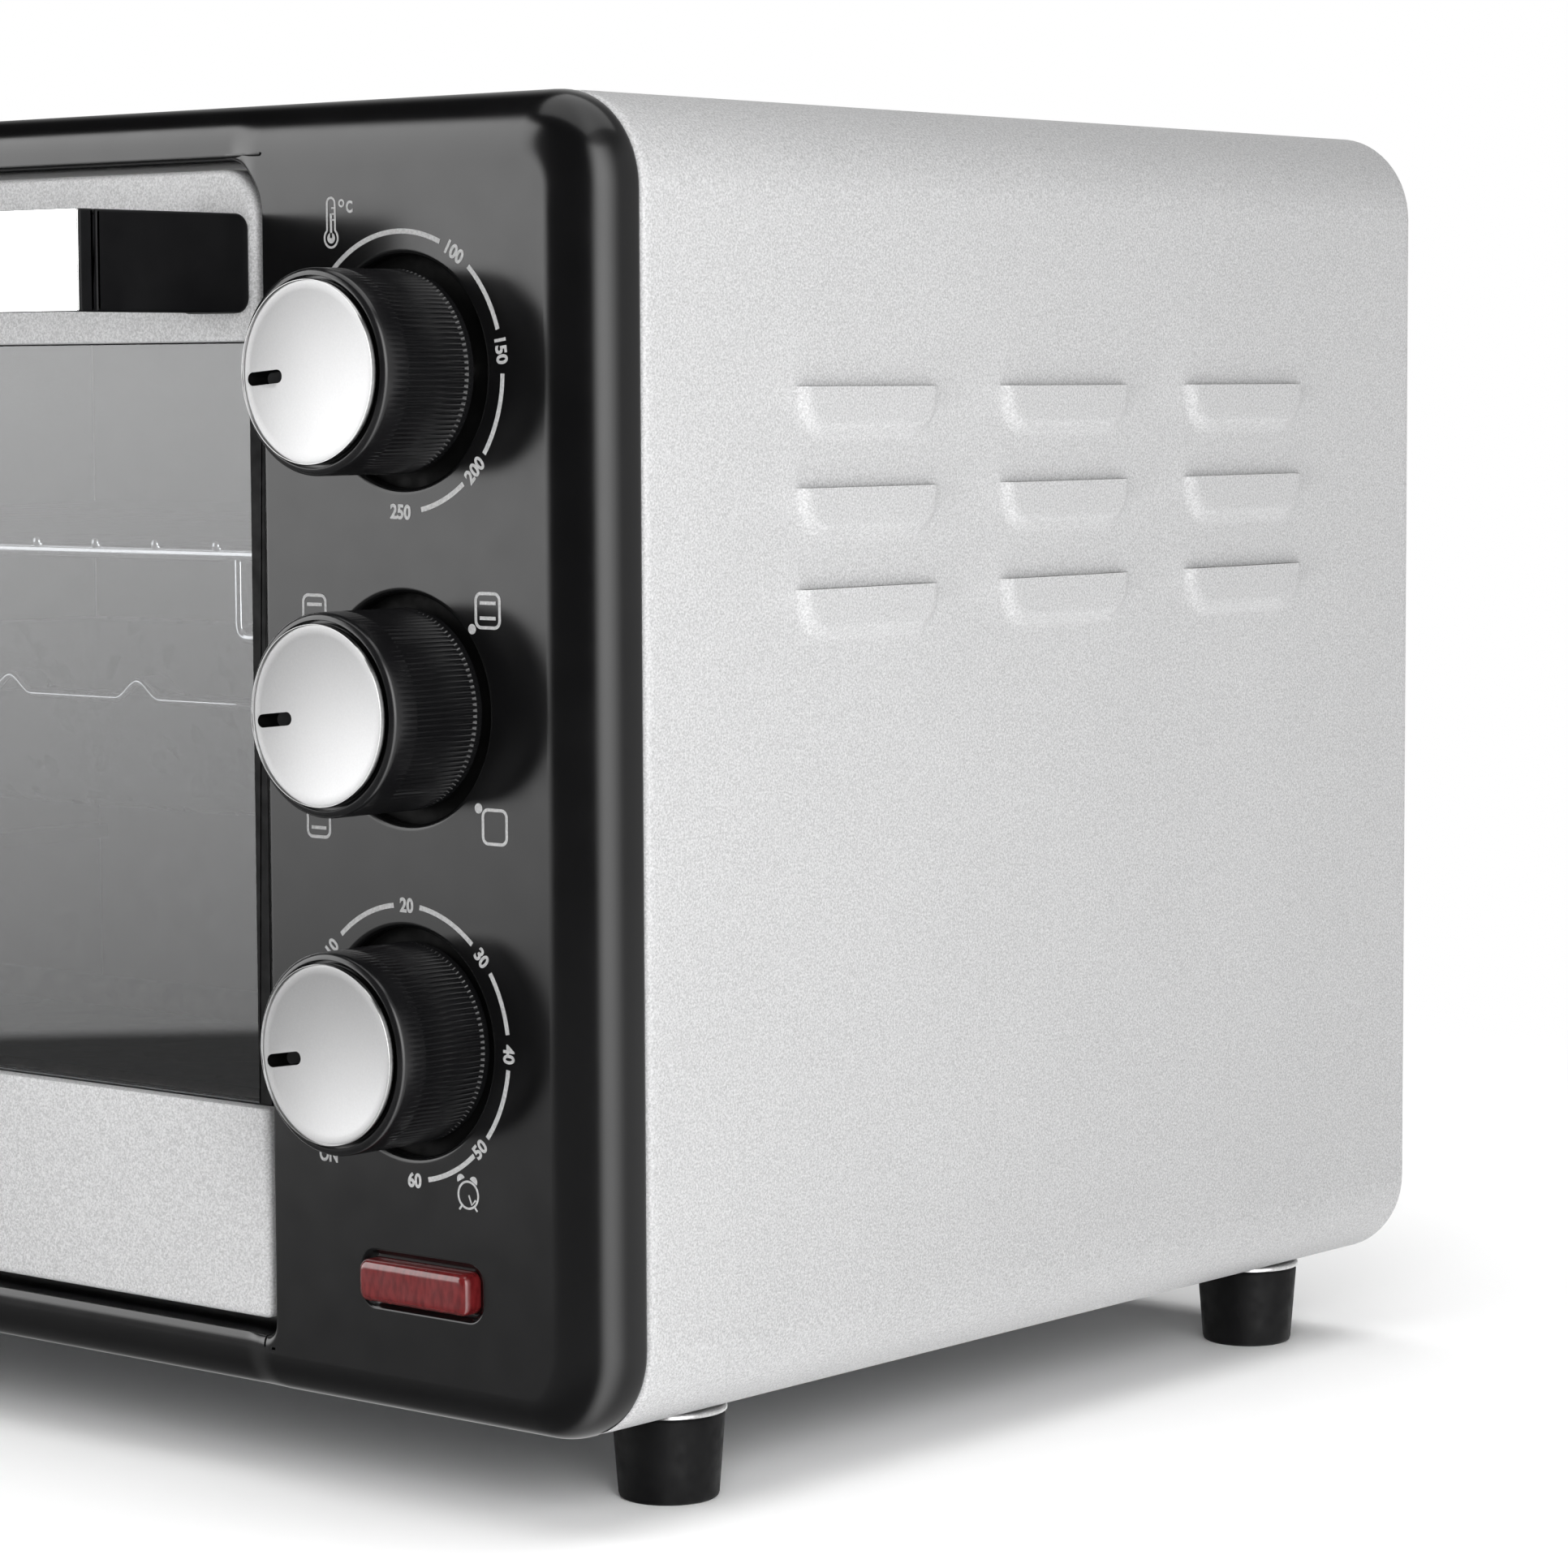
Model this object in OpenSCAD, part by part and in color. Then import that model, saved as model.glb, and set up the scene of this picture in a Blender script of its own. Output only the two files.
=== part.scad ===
// Toaster oven with a drop-down glass door, three control knobs and a wrapped steel case.
// The body is drawn with x across, y from the control panel's front plane to the rear and
// z up from the underside of the case; place() then sets it on its feet.

/* [Body] */
// Width of the case
body_w = 440; // [420:5:480]
// Height of the case without the feet
body_h = 250; // [250:5:270]
// Depth from the control panel's front plane to the rear edge of the case
body_d = 268; // [268:4:300]
// Radius of the four long edges of the body
corner_r = 18.5; // [17:0.5:22]
// Sheet thickness of the case, liner and base
sheet_t = 0.8; // [0.6:0.1:1]
// Depth of the black front frame
frame_d = 13; // [13:1:15]
// Radius of the frame's front edges
front_r = 9; // [8:0.5:10]
// Height of the pressed field on the rear panel
rear_field = 6; // [4:1:8]

/* [Louvers] */
// Louvers in each row
louver_cols = 3; // [1:1:3]
// Rows of louvers
louver_rows = 3; // [1:1:3]
// Length of one louver
louver_l = 43.7; // [36:0.1:46]
// Height of one louver
louver_h = 10; // [8:0.5:12]
// How far a louver stands out from the case
louver_out = 1.8; // [1.4:0.1:2.2]
// Distance from the panel plane to the first louver
louver_y = 55.4; // [50:0.2:58]
// Height of the top louver's open edge above the case's underside
louver_z = 195.6; // [180:0.2:200]
// Spacing of the louvers along the case
louver_pitch_y = 63.1; // [60:0.1:66]
// Spacing of the louver rows
louver_pitch_z = 19.17; // [16:0.01:22]

/* [Door] */
// Width of the door
door_w = 333; // [333:1:335]
// Height of the door
door_h = 222.6; // [222:0.2:224]
// Thickness of the door
door_t = 10; // [9:0.5:10]
// Height of the bottom rail
bottom_rail_h = 41.5; // [38:0.5:44]
// Height of the top rail
top_rail_h = 33; // [32:0.5:35]
// Thickness of the glass
glass_t = 4; // [3:0.5:4]
// Radius of the hinge pins
pin_r = 2; // [1.5:0.1:2]

/* [Handle] */
// How far the handle reaches in front of the panel plane
handle_reach = 42; // [36:1:46]
// Height of the handle bar
handle_h = 19; // [16:0.5:20]
// Front-to-back size of the handle bar
handle_bar_d = 12; // [10:0.5:14]
// Thickness of the end brackets
bracket_t = 4; // [3:0.5:5]

/* [Controls] */
// Distance from the right side of the case to the knob axes
knob_inset = 48.9; // [47:0.1:50]
// Height of the middle knob above the case's underside
knob_mid_z = 135.8; // [132:0.1:138]
// Spacing of the knobs
knob_pitch = 62.85; // [60:0.05:63]
// Diameter of a knob
knob_dia = 38; // [34:1:38]
// How far a knob stands out from the panel plane
knob_out = 23; // [20:1:24]
// Diameter of the brushed cap
cap_dia = 34; // [28:1:34]
// Radius of the control shafts
shaft_r = 3; // [3:0.1:3.2]
// Running clearance of the shafts and hinge pins
run_gap = 0.05; // [0.02:0.01:0.1]

/* [Rack and trays] */
// Height of the wire rack above the case's underside
rack_z = 162.6; // [160:0.1:164]
// Radius of the rack's frame wire
rack_wire_r = 1.6; // [1.5:0.1:2]
// Radius of the rack's cross wires
cross_wire_r = 1.3; // [1:0.1:1.5]
// Spacing of the cross wires
cross_pitch = 17.9; // [16:0.1:20]
// Spacing of the runners on the cavity's side walls
runner_pitch = 28; // [27:0.5:28]

/* [Feet] */
// Height of the feet with their washers
foot_h = 18; // [16:1:24]
// Top diameter of a foot
foot_dia = 22; // [20:1:24]

/* [Hidden] */

$fn = 48;
arc_steps = 10;            // straight steps in each rounded corner of an outline
over = 1;                  // how far a cut runs past a face
snug = 0.1;                // gap between parts that drop into each other

half_w = body_w / 2;
front_y = handle_reach - (handle_reach + body_d + rear_field) / 2;

// Door and the well it sits in
door_face_y = 1.5;         // door face behind the panel plane
door_back_y = door_face_y + door_t;
door_z0 = 15;
door_z1 = door_z0 + door_h;
side_gap = 3;
door_x1 = half_w - 89;
door_x0 = door_x1 - door_w;
well_x0 = door_x0 - side_gap;
well_x1 = door_x1 + side_gap;
well_z0 = door_z0 - 3;
well_z1 = door_z1 + 1.7;
well_d = 14;
well_r = 11;
skin_t = 1.5;              // thickness of the frame's moulding
flange_t = 1.2;
flange_back = well_d + flange_t;

// Cavity liner
cav_x0 = door_x0 + 10;
cav_x1 = door_x1 - 10;
cav_z0 = 29;
cav_z1 = 223;
cav_y1 = body_d - 18;
mouth_lip = 2;

// Hinge
hinge_y = door_face_y + 3.5;
hinge_z = door_z0 + 3.5;
hinge_bracket_t = 3.5;

// Glass, held in rubber channels inside the rails
glass_y0 = door_face_y + (door_t - glass_t) / 2;
glass_z0 = 48;
glass_z1 = door_z1 - top_rail_h + 8.3;
seal_w = 8.4;
door_r = 9.5;

// Handle
handle_z0 = 210;
handle_z1 = handle_z0 + handle_h;
handle_x0 = door_x0 + 1.6;
handle_x1 = door_x1 - 1.6;
bar_wall = 1;
spigot_l = 12;
handle_foot = 16;          // length of each bracket's foot on the door
handle_screw_z = (handle_z0 + handle_z1) / 2;

// Controls, from the top: temperature, mode, timer
knob_x = half_w - knob_inset;
knob_zs = [knob_mid_z + knob_pitch, knob_mid_z, knob_mid_z - knob_pitch];
knob_shift = [1.6, 0.3, -0.9];     // how much less or further each knob is pushed on to its shaft
pointer_turn = [5, 6, 9];          // how far below level each pointer rests
recess_r = 21.7;
recess_d = 3;
cap_t = 1.4;
control_y = recess_d + skin_t;     // front of the controls behind the panel
fixing_r = 13.2;                     // hidden fixing screws, distance from the knob axis
shaft_front = -15;
shaft_back = 16;

// Lamp
lamp_w = 29.5;
lamp_h = 8.8;
lamp_x = 174;
lamp_z = 27;

// Inside of the cavity
rack_y0 = 24;
rack_y1 = 240;
rack_x0 = cav_x0 + 5;
rack_x1 = cav_x1 - 5;
hook_l = 16.5;
weld_gap = 0.02;
runner_w = 8;
runner_h = 4;
runner_y0 = 20;
runner_y1 = cav_y1 - 4;
runner_tops = [for (i = [0:3]) rack_z - rack_wire_r - 0.3 - i * runner_pitch];
tray_rim_z = runner_tops[1] + 0.1;
tray_depth = 23.6;
element_r = 4;
element_ys = [75, 190];
upper_z = cav_z1 - 10;
lower_z = cav_z0 + 12;
shield_x = 142;

// Feet
foot_xs = [-half_w + 24, half_w - 24];
foot_ys = [45, 241];
washer_t = 1;

// Colours
silver = [0.78, 0.78, 0.79];
black = [0.05, 0.05, 0.055];
steel = [0.62, 0.63, 0.65];
zinc = [0.7, 0.71, 0.73];

module place() translate([0, front_y, foot_h]) children();

// A box between two corners; x0 and x1 may come in either order
module block(x0, x1, y0, y1, z0, z1)
    translate([min(x0, x1), y0, z0]) cube([abs(x1 - x0), y1 - y0, z1 - z0]);

module rod_x(r, x0, x1, y, z, fn = 48)
    translate([x0, y, z]) rotate([0, 90, 0]) cylinder(r = r, h = x1 - x0, $fn = fn);

module rod_y(r, y0, y1, x, z, fn = 48)
    translate([x, y0, z]) rotate([-90, 0, 0]) cylinder(r = r, h = y1 - y0, $fn = fn);

module rod_z(r, z0, z1, x, y, fn = 48)
    translate([x, y, z0]) cylinder(r = r, h = z1 - z0, $fn = fn);

// A drawing in x and z, given depth from y0 to y1
module slab_y(y0, y1) translate([0, y1, 0]) rotate([90, 0, 0]) linear_extrude(y1 - y0) children();

// A drawing in y and z, given thickness between x0 and x1
module slab_x(x0, x1)
    translate([min(x0, x1), 0, 0]) rotate([90, 0, 90]) linear_extrude(abs(x1 - x0)) children();

// A drawing in x and y, given height from z0 to z1
module slab_z(z0, z1) translate([0, 0, z0]) linear_extrude(z1 - z0) children();

function corner(cx, cy, r, a0) = r > 0
    ? [for (i = [0:arc_steps]) let (a = a0 + 90 * i / arc_steps) [cx + r * cos(a), cy + r * sin(a)]]
    : [[cx, cy]];

// Outline of a rectangle with rounded corners: radius r_top above and r_low below
function outline(x0, x1, z0, z1, r_top, r_low) = concat(
    corner(x1 - r_top, z1 - r_top, r_top, 0), corner(x0 + r_top, z1 - r_top, r_top, 90),
    corner(x0 + r_low, z0 + r_low, r_low, 180), corner(x1 - r_low, z0 + r_low, r_low, 270));

module rounded(x0, x1, z0, z1, r_top, r_low) polygon(outline(x0, x1, z0, z1, r_top, r_low));

module body_outline(inset) rounded(-half_w + inset, half_w - inset, inset, body_h - inset,
    corner_r - inset, corner_r - inset);

// A round tube or wire of radius r along the points of a path
function side_of(t) = abs(t[2]) < 0.9 * norm(t) ? cross(t, [0, 0, 1]) : cross(t, [1, 0, 0]);
function unit(v) = v / norm(v);
function tangent(p, i) = unit(p[min(i + 1, len(p) - 1)] - p[max(i - 1, 0)]);

module sweep(path, r, sides) {
    rings = len(path);
    points = [for (i = [0:rings - 1], k = [0:sides - 1])
        let (t = tangent(path, i), u = unit(side_of(t)), v = cross(t, u), a = 360 * k / sides)
        path[i] + r * (cos(a) * u + sin(a) * v)];
    ends = [[for (k = [sides - 1:-1:0]) k], [for (k = [0:sides - 1]) (rings - 1) * sides + k]];
    walls = [for (i = [0:rings - 2], k = [0:sides - 1])
        let (a = i * sides + k, b = i * sides + (k + 1) % sides) [a, b, b + sides, a + sides]];
    polyhedron(points, concat(ends, walls), convexity = 10);
}

// ---- Case and frame ----

// Outline of a louver, straight along its open upper edge and round below
module louver_outline(inset, extra_top) {
    r = louver_h - 1.5 - inset;
    rounded(inset, louver_l - inset, inset - louver_h, extra_top, 0, r);
}

// Draws its children at each louver, once for each side of the case
module each_louver() for (col = [0:louver_cols - 1], row = [0:louver_rows - 1])
    translate([0, louver_y + louver_pitch_y * col, louver_z - louver_pitch_z * row]) children();

module louvers() for (side = [-1, 1]) each_louver()
    slab_x(side * (half_w - sheet_t), side * (half_w + louver_out)) louver_outline(0, 0);

module louver_hollows() for (side = [-1, 1]) each_louver() {
    far = half_w + louver_out - sheet_t;
    slab_x(side * (half_w - sheet_t - over), side * far) louver_outline(sheet_t, -sheet_t);
    slab_x(side * half_w, side * far) rounded(sheet_t, louver_l - sheet_t, -louver_h / 2, over, 0, 0);
}

module outer_case() color(silver) place() difference() {
    union() {
        slab_y(frame_d, body_d) difference() {
            body_outline(0);
            body_outline(sheet_t);
        }
        slab_y(body_d - 2 * sheet_t, body_d - sheet_t) difference() {
            body_outline(sheet_t / 2);
            rounded(-half_w + 11, half_w - 11, 11, body_h - 11, 8, 8);
        }
        louvers();
    }
    louver_hollows();
    block(-half_w + 40, half_w - 40, frame_d - over, body_d - 3 * sheet_t, -over, 0.5 + sheet_t);
    foot_holes(-over, sheet_t + over);
    panel_screw_holes();
}

// Section of the frame's shell from a corner's axis outward: front skin, rounded edge, rim
function shell_section() = let (rim = corner_r - front_r) concat(
    [[0, 0]],
    [for (i = [0:arc_steps]) let (a = 90 * i / arc_steps)
        [rim + front_r * sin(a), front_r * (1 - cos(a))]],
    [[corner_r, frame_d], [corner_r - skin_t, frame_d]],
    [for (i = [arc_steps:-1:0]) let (a = 90 * i / arc_steps, r = front_r - skin_t)
        [rim + r * sin(a), front_r - r * cos(a)]],
    [[0, skin_t]]);

// The frame's open-backed shell: four corners, four edges and the flat between them
module frame_shell() {
    cx = half_w - corner_r;
    cz = body_h - corner_r;
    centres = [[cx, corner_r], [-cx, corner_r], [-cx, cz], [cx, cz]];
    for (k = [0:3]) translate([centres[k][0], 0, centres[k][1]]) rotate([0, 90 * k, 0])
        rotate([-90, 0, 0]) rotate_extrude(angle = 90) polygon(shell_section());
    for (side = [-1, 1]) translate([side * cx, 0, corner_r]) mirror([side < 0 ? 1 : 0, 0, 0])
        linear_extrude(cz - corner_r) polygon(shell_section());
    translate([-cx, 0, corner_r]) rotate([0, 90, 0]) linear_extrude(2 * cx) polygon(shell_section());
    translate([cx, 0, cz]) rotate([0, -90, 0]) linear_extrude(2 * cx) polygon(shell_section());
    block(-cx, cx, 0, skin_t, corner_r, cz);
}

module front_frame() color(black) place() difference() {
    union() {
        frame_shell();
        slab_y(skin_t / 2, flange_back) rounded(well_x0 - skin_t, well_x1 + skin_t,
            well_z0 - skin_t, well_z1 + skin_t, well_r + skin_t, 4);
        for (z = knob_zs) rod_y(recess_r + skin_t, skin_t / 2, control_y, knob_x, z);
    }
    slab_y(-over, well_d) rounded(well_x0, well_x1, well_z0, well_z1, well_r, 3);
    slab_y(well_d - over, flange_back + over)
        rounded(cav_x0 + mouth_lip, cav_x1 - mouth_lip, cav_z0 + mouth_lip, cav_z1 - mouth_lip, 5, 5);
    for (z = knob_zs) {
        rod_y(recess_r, -over, recess_d, knob_x, z);
        rod_y(shaft_r + 1.5, 0, control_y + over, knob_x, z);
        for (side = [-1, 1]) rod_y(1.6, 0, control_y + over, knob_x + side * fixing_r, z);
    }
    slab_y(-over, skin_t + over) lamp_outline(snug);
    hinge_bores();
}

module lamp_outline(grow) rounded(lamp_x - lamp_w / 2 - grow, lamp_x + lamp_w / 2 + grow,
    lamp_z - lamp_h / 2 - grow, lamp_z + lamp_h / 2 + grow, 2, 2);

module hinge_bores() for (x = [well_x0 - skin_t - hinge_bracket_t, well_x1])
    rod_x(pin_r + run_gap, x - over, x + skin_t + hinge_bracket_t + over, hinge_y, hinge_z);

module panel_screw_holes(r = 1.7) for (x = [-160, 0, 160], z = [6.2, body_h - 6.2])
    rod_y(r, body_d - 3 * sheet_t, body_d + over, x, z);

module rear_panel() color(zinc) place() difference() {
    union() {
        slab_y(body_d - sheet_t, body_d) body_outline(sheet_t + snug);
        slab_y(body_d - sheet_t, body_d + rear_field) rounded(-180, 120, 40, 215, 14, 14);
    }
    slab_y(body_d - sheet_t - over, body_d + rear_field - sheet_t)
        rounded(-180 + sheet_t, 120 - sheet_t, 40 + sheet_t, 215 - sheet_t, 13.2, 13.2);
    for (i = [0:7])
        slab_y(body_d - 2, body_d + over) rounded(142, 194, 90 + 14 * i, 94 + 14 * i, 1.9, 1.9);
    for (i = [0:4], j = [0:1])
        slab_y(body_d, body_d + rear_field + over)
            rounded(-150 + 130 * j, -40 + 130 * j, 90 + 24 * i, 95 + 24 * i, 2.4, 2.4);
    rod_y(7, body_d - 2, body_d + over, 168, 40);
    panel_screw_holes();
}

module base_plate() color(zinc) place() difference() {
    block(-half_w + 20, half_w - 20, frame_d + 3, body_d - 3 * sheet_t, sheet_t, 2 * sheet_t);
    foot_holes(0, 3);
    for (x = [-150:30:120], y = [90, 140, 190])
        slab_z(0, 3) rounded(x, x + 18, y, y + 4, 1.9, 1.9);
}

// ---- Cavity ----

module cavity_top() color(steel) place()
    block(cav_x0 - sheet_t, cav_x1 + sheet_t, flange_back, cav_y1 + sheet_t, cav_z1, cav_z1 + sheet_t);

module cavity_floor() color(steel) place()
    block(cav_x0 - sheet_t, cav_x1 + sheet_t, flange_back, cav_y1 + sheet_t, cav_z0 - sheet_t, cav_z0);

module cavity_back() color(steel) place()
    block(cav_x0, cav_x1, cav_y1, cav_y1 + sheet_t, cav_z0, cav_z1);

// A side wall with its pressed runners; side is -1 on the left and 1 on the right
module cavity_wall(side) {
    inner = side < 0 ? cav_x0 : cav_x1;
    outer = inner + side * sheet_t;
    reach = inner - side * runner_w;
    difference() {
        union() {
            block(inner, outer, flange_back, cav_y1, cav_z0, cav_z1);
            for (top = runner_tops) block(inner, reach, runner_y0, runner_y1, top - runner_h, top);
        }
        for (top = runner_tops)
            block(outer + side * over, reach + side * sheet_t, runner_y0 + sheet_t, runner_y1 - sheet_t,
                top - runner_h + sheet_t, top - sheet_t);
        for (y = element_ys, z = [upper_z, lower_z])
            rod_x(element_r + 1 + run_gap, min(inner, outer) - over, max(inner, outer) + over, y, z);
    }
}

module cavity_wall_left() color(steel) place() cavity_wall(-1);

module cavity_wall_right() color(steel) place() cavity_wall(1);

module heat_shield() color(zinc) place() difference() {
    union() {
        block(shield_x, shield_x + sheet_t, frame_d + 4, body_d - 6, 2 * sheet_t, body_h - 4);
        block(shield_x + sheet_t, shield_x + 9, frame_d + 4, body_d - 6, 2 * sheet_t, 3 * sheet_t);
    }
    for (z = [upper_z, lower_z]) rod_x(6, shield_x - over, shield_x + 2, element_ys[0], z);
    for (i = [0:3])
        slab_x(shield_x - over, shield_x + 2) rounded(150, 200, 80 + 30 * i, 84 + 30 * i, 1.9, 1.9);
}

module heating_elements(z) for (y = element_ys) {
    rod_x(element_r, cav_x0 - 5, cav_x1 + 5, y, z);
    rod_x(1.5, cav_x0 - 13, cav_x0 - 5, y, z, 24);
    rod_x(1.5, cav_x1 + 5, cav_x1 + 13, y, z, 24);
}

module upper_heating_elements() color([0.45, 0.43, 0.42]) place() heating_elements(upper_z);

module lower_heating_elements() color([0.45, 0.43, 0.42]) place() heating_elements(lower_z);

// Stepped ceramic ring: a flange outside the wall and a spigot through it
module insulator(x, side) translate([x, 0, 0]) rotate([0, side * 90, 0]) difference() {
    union() {
        translate([0, 0, sheet_t]) cylinder(r = 8, h = 3);
        translate([0, 0, -3]) cylinder(r = element_r + 1, h = 4);
    }
    translate([0, 0, -5]) cylinder(r = element_r + run_gap, h = 12);
}

module element_insulators() color([0.92, 0.9, 0.85]) place()
    for (y = element_ys, z = [upper_z, lower_z]) translate([0, y, z]) {
        insulator(cav_x0, -1);
        insulator(cav_x1, 1);
    }

module baking_tray() color([0.3, 0.3, 0.31]) place() {
    x0 = cav_x0 + 14;
    x1 = cav_x1 - 14;
    y0 = rack_y0 + 4;
    y1 = rack_y1;
    low = tray_rim_z - tray_depth;
    difference() {
        union() {
            slab_z(low, tray_rim_z + 1) rounded(x0, x1, y0, y1, 12, 12);
            slab_z(tray_rim_z, tray_rim_z + 1) rounded(x0 - 10, x1 + 10, y0 - 6, y1 + 6, 14, 14);
        }
        slab_z(low + 1, tray_rim_z + 2) rounded(x0 + 1, x1 - 1, y0 + 1, y1 - 1, 11, 11);
    }
}

module crumb_tray() color(zinc) place() difference() {
    block(cav_x0 + 6, cav_x1 - 6, 20, cav_y1 - 6, cav_z0 + snug, cav_z0 + 6);
    block(cav_x0 + 6.8, cav_x1 - 6.8, 20.8, cav_y1 - 6.8, cav_z0 + snug + sheet_t, cav_z0 + 6 + over);
}

// Rack: frame wires, cross wires on top of them and two hooks hanging from the front wire,
// each its own solid just under the wire it is spot welded to
module wire_rack() color([0.85, 0.85, 0.86]) place() {
    wire_z = rack_z + 0.6 * (rack_wire_r + cross_wire_r);
    r = rack_wire_r;
    for (y = [rack_y0, (rack_y0 + rack_y1) / 2, rack_y1])
        rod_x(r, rack_x0, rack_x1, y, rack_z, 8);
    for (x = [rack_x0, rack_x1]) rod_y(r, rack_y0 - r, rack_y1 + r, x, rack_z, 8);
    for (i = [1:floor((rack_x1 - rack_x0 - 6) / cross_pitch)])
        rod_y(cross_wire_r, rack_y0 - 1, rack_y1 + 1, rack_x1 - i * cross_pitch, wire_z, 8);
    for (x = [rack_x0 + 12, rack_x1 - 12]) {
        rod_z(cross_wire_r, rack_z - hook_l, rack_z - r - weld_gap, x, rack_y0, 8);
        rod_x(cross_wire_r, x - cross_wire_r, x + 6, rack_y0, rack_z - hook_l, 8);
    }
}

// ---- Controls ----

module bushing_bore(z) rod_y(shaft_r + run_gap, control_y - over, shaft_back + 2, knob_x, z);

module fixing_bores(z) for (side = [-1, 1])
    rod_y(1.3, control_y - over, control_y + 9, knob_x + side * fixing_r, z);

module thermostat() color([0.75, 0.7, 0.6]) place() difference() {
    z = knob_zs[0];
    union() {
        block(knob_x - 20, knob_x + 20, control_y, control_y + 2, z - 13, z + 13);
        block(knob_x - 17, knob_x + 17, control_y + 2, control_y + 24, z - 11, z + 11);
        block(knob_x - 4, knob_x + 4, control_y + 24, control_y + 32, z - 3, z + 3);
    }
    bushing_bore(z);
    fixing_bores(z);
}

module mode_switch() color([0.9, 0.88, 0.82]) place() difference() {
    z = knob_zs[1];
    union() {
        block(knob_x - 19, knob_x + 19, control_y, control_y + 20, z - 17, z + 17);
        for (x = [-10, 0, 10], s = [-9, 9])
            block(knob_x + x - 3, knob_x + x + 3, control_y + 20, control_y + 28,
                z + s - 0.4, z + s + 0.4);
    }
    bushing_bore(z);
    fixing_bores(z);
}

module timer() color([0.72, 0.73, 0.75]) place() difference() {
    z = knob_zs[2];
    union() {
        block(knob_x - 24, knob_x + 22, control_y, control_y + 24, z - 19, z + 19);
        rod_y(17, control_y + 26, control_y + 34, knob_x, z);
        rod_y(3, control_y + 24, control_y + 26, knob_x, z);
    }
    bushing_bore(z);
    fixing_bores(z);
}

// Pan-head screw whose shank runs along +y from the underside of its head
module screw_y(head_r, head_t, shank_r, length, x, y, z) {
    rod_y(head_r, y - head_t, y, x, z, 24);
    rod_y(shank_r, y - head_t, y + length, x, z, 24);
}

module control_screws() color(zinc) place() for (z = knob_zs, side = [-1, 1])
    screw_y(2.8, 1.2, 1.25, 8, knob_x + side * fixing_r, recess_d, z);

// Knob turned about its axis, open to the back around a hub that grips the shaft
module knob(i) color(black) place() translate([knob_x, 0, knob_zs[i]]) rotate([90, 0, 0]) difference() {
    r = knob_dia / 2;
    front = knob_out - cap_t;
    back = -1.6;
    translate([0, 0, knob_shift[i]]) rotate_extrude() polygon([[0, 1.6], [shaft_r + 4, 1.6],
        [shaft_r + 4, front - 3], [r - 2.4, front - 3], [r - 2.4, back], [r, back], [r, front - 1],
        [r - 1, front], [cap_dia / 2 + 0.2, front], [cap_dia / 2 + 0.2, front - 0.6], [0, front - 0.6]]);
    cylinder(r = shaft_r, h = -shaft_front);
}

// Brushed cap with a raised rim and the pointer slot at its left
module knob_cap(i) color(silver) place()
    translate([knob_x, -knob_shift[i], knob_zs[i]]) rotate([90, -pointer_turn[i], 0]) difference() {
        r = cap_dia / 2;
        rotate_extrude() polygon([[0, knob_out - cap_t - 0.6], [r, knob_out - cap_t - 0.6],
            [r, knob_out - 0.4], [r - 0.5, knob_out], [r - 1, knob_out - 0.3], [0, knob_out - 0.3]]);
        translate([0, 0, knob_out - 3]) linear_extrude(4) rounded(-r + 1.5, -r + 9.3, -1.25, 1.25, 1.2, 1.2);
    }

module shaft(i) color(zinc) place() rod_y(shaft_r, shaft_front, shaft_back, knob_x, knob_zs[i]);

module temperature_knob() knob(0);
module temperature_knob_cap() knob_cap(0);
module thermostat_shaft() shaft(0);
module mode_knob() knob(1);
module mode_knob_cap() knob_cap(1);
module mode_switch_shaft() shaft(1);
module timer_knob() knob(2);
module timer_knob_cap() knob_cap(2);
module timer_shaft() shaft(2);

module lamp_lens() color([0.55, 0.05, 0.06]) place() {
    slab_y(-3, skin_t + 1) lamp_outline(0);
    slab_y(skin_t, skin_t + 1) lamp_outline(1.5);
}

module lamp_holder() color([0.85, 0.85, 0.82]) place() {
    slab_y(skin_t + 1, skin_t + 16) lamp_outline(-0.5);
    for (x = [-8, 8])
        block(lamp_x + x - 2, lamp_x + x + 2, skin_t + 16, skin_t + 23, lamp_z - 0.4, lamp_z + 0.4);
}

module terminal_block() color([0.88, 0.87, 0.8]) place() difference() {
    block(shield_x + sheet_t, shield_x + 18, 210, 246, 20, 36);
    for (y = [219, 228, 237]) rod_x(2, shield_x + 12, shield_x + 20, y, 28);
}

// Wires between the controls, the lamp, the terminal block and the heating elements
wire_r = 1.2;
module wire(path) sweep(path, wire_r, 8);

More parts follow.
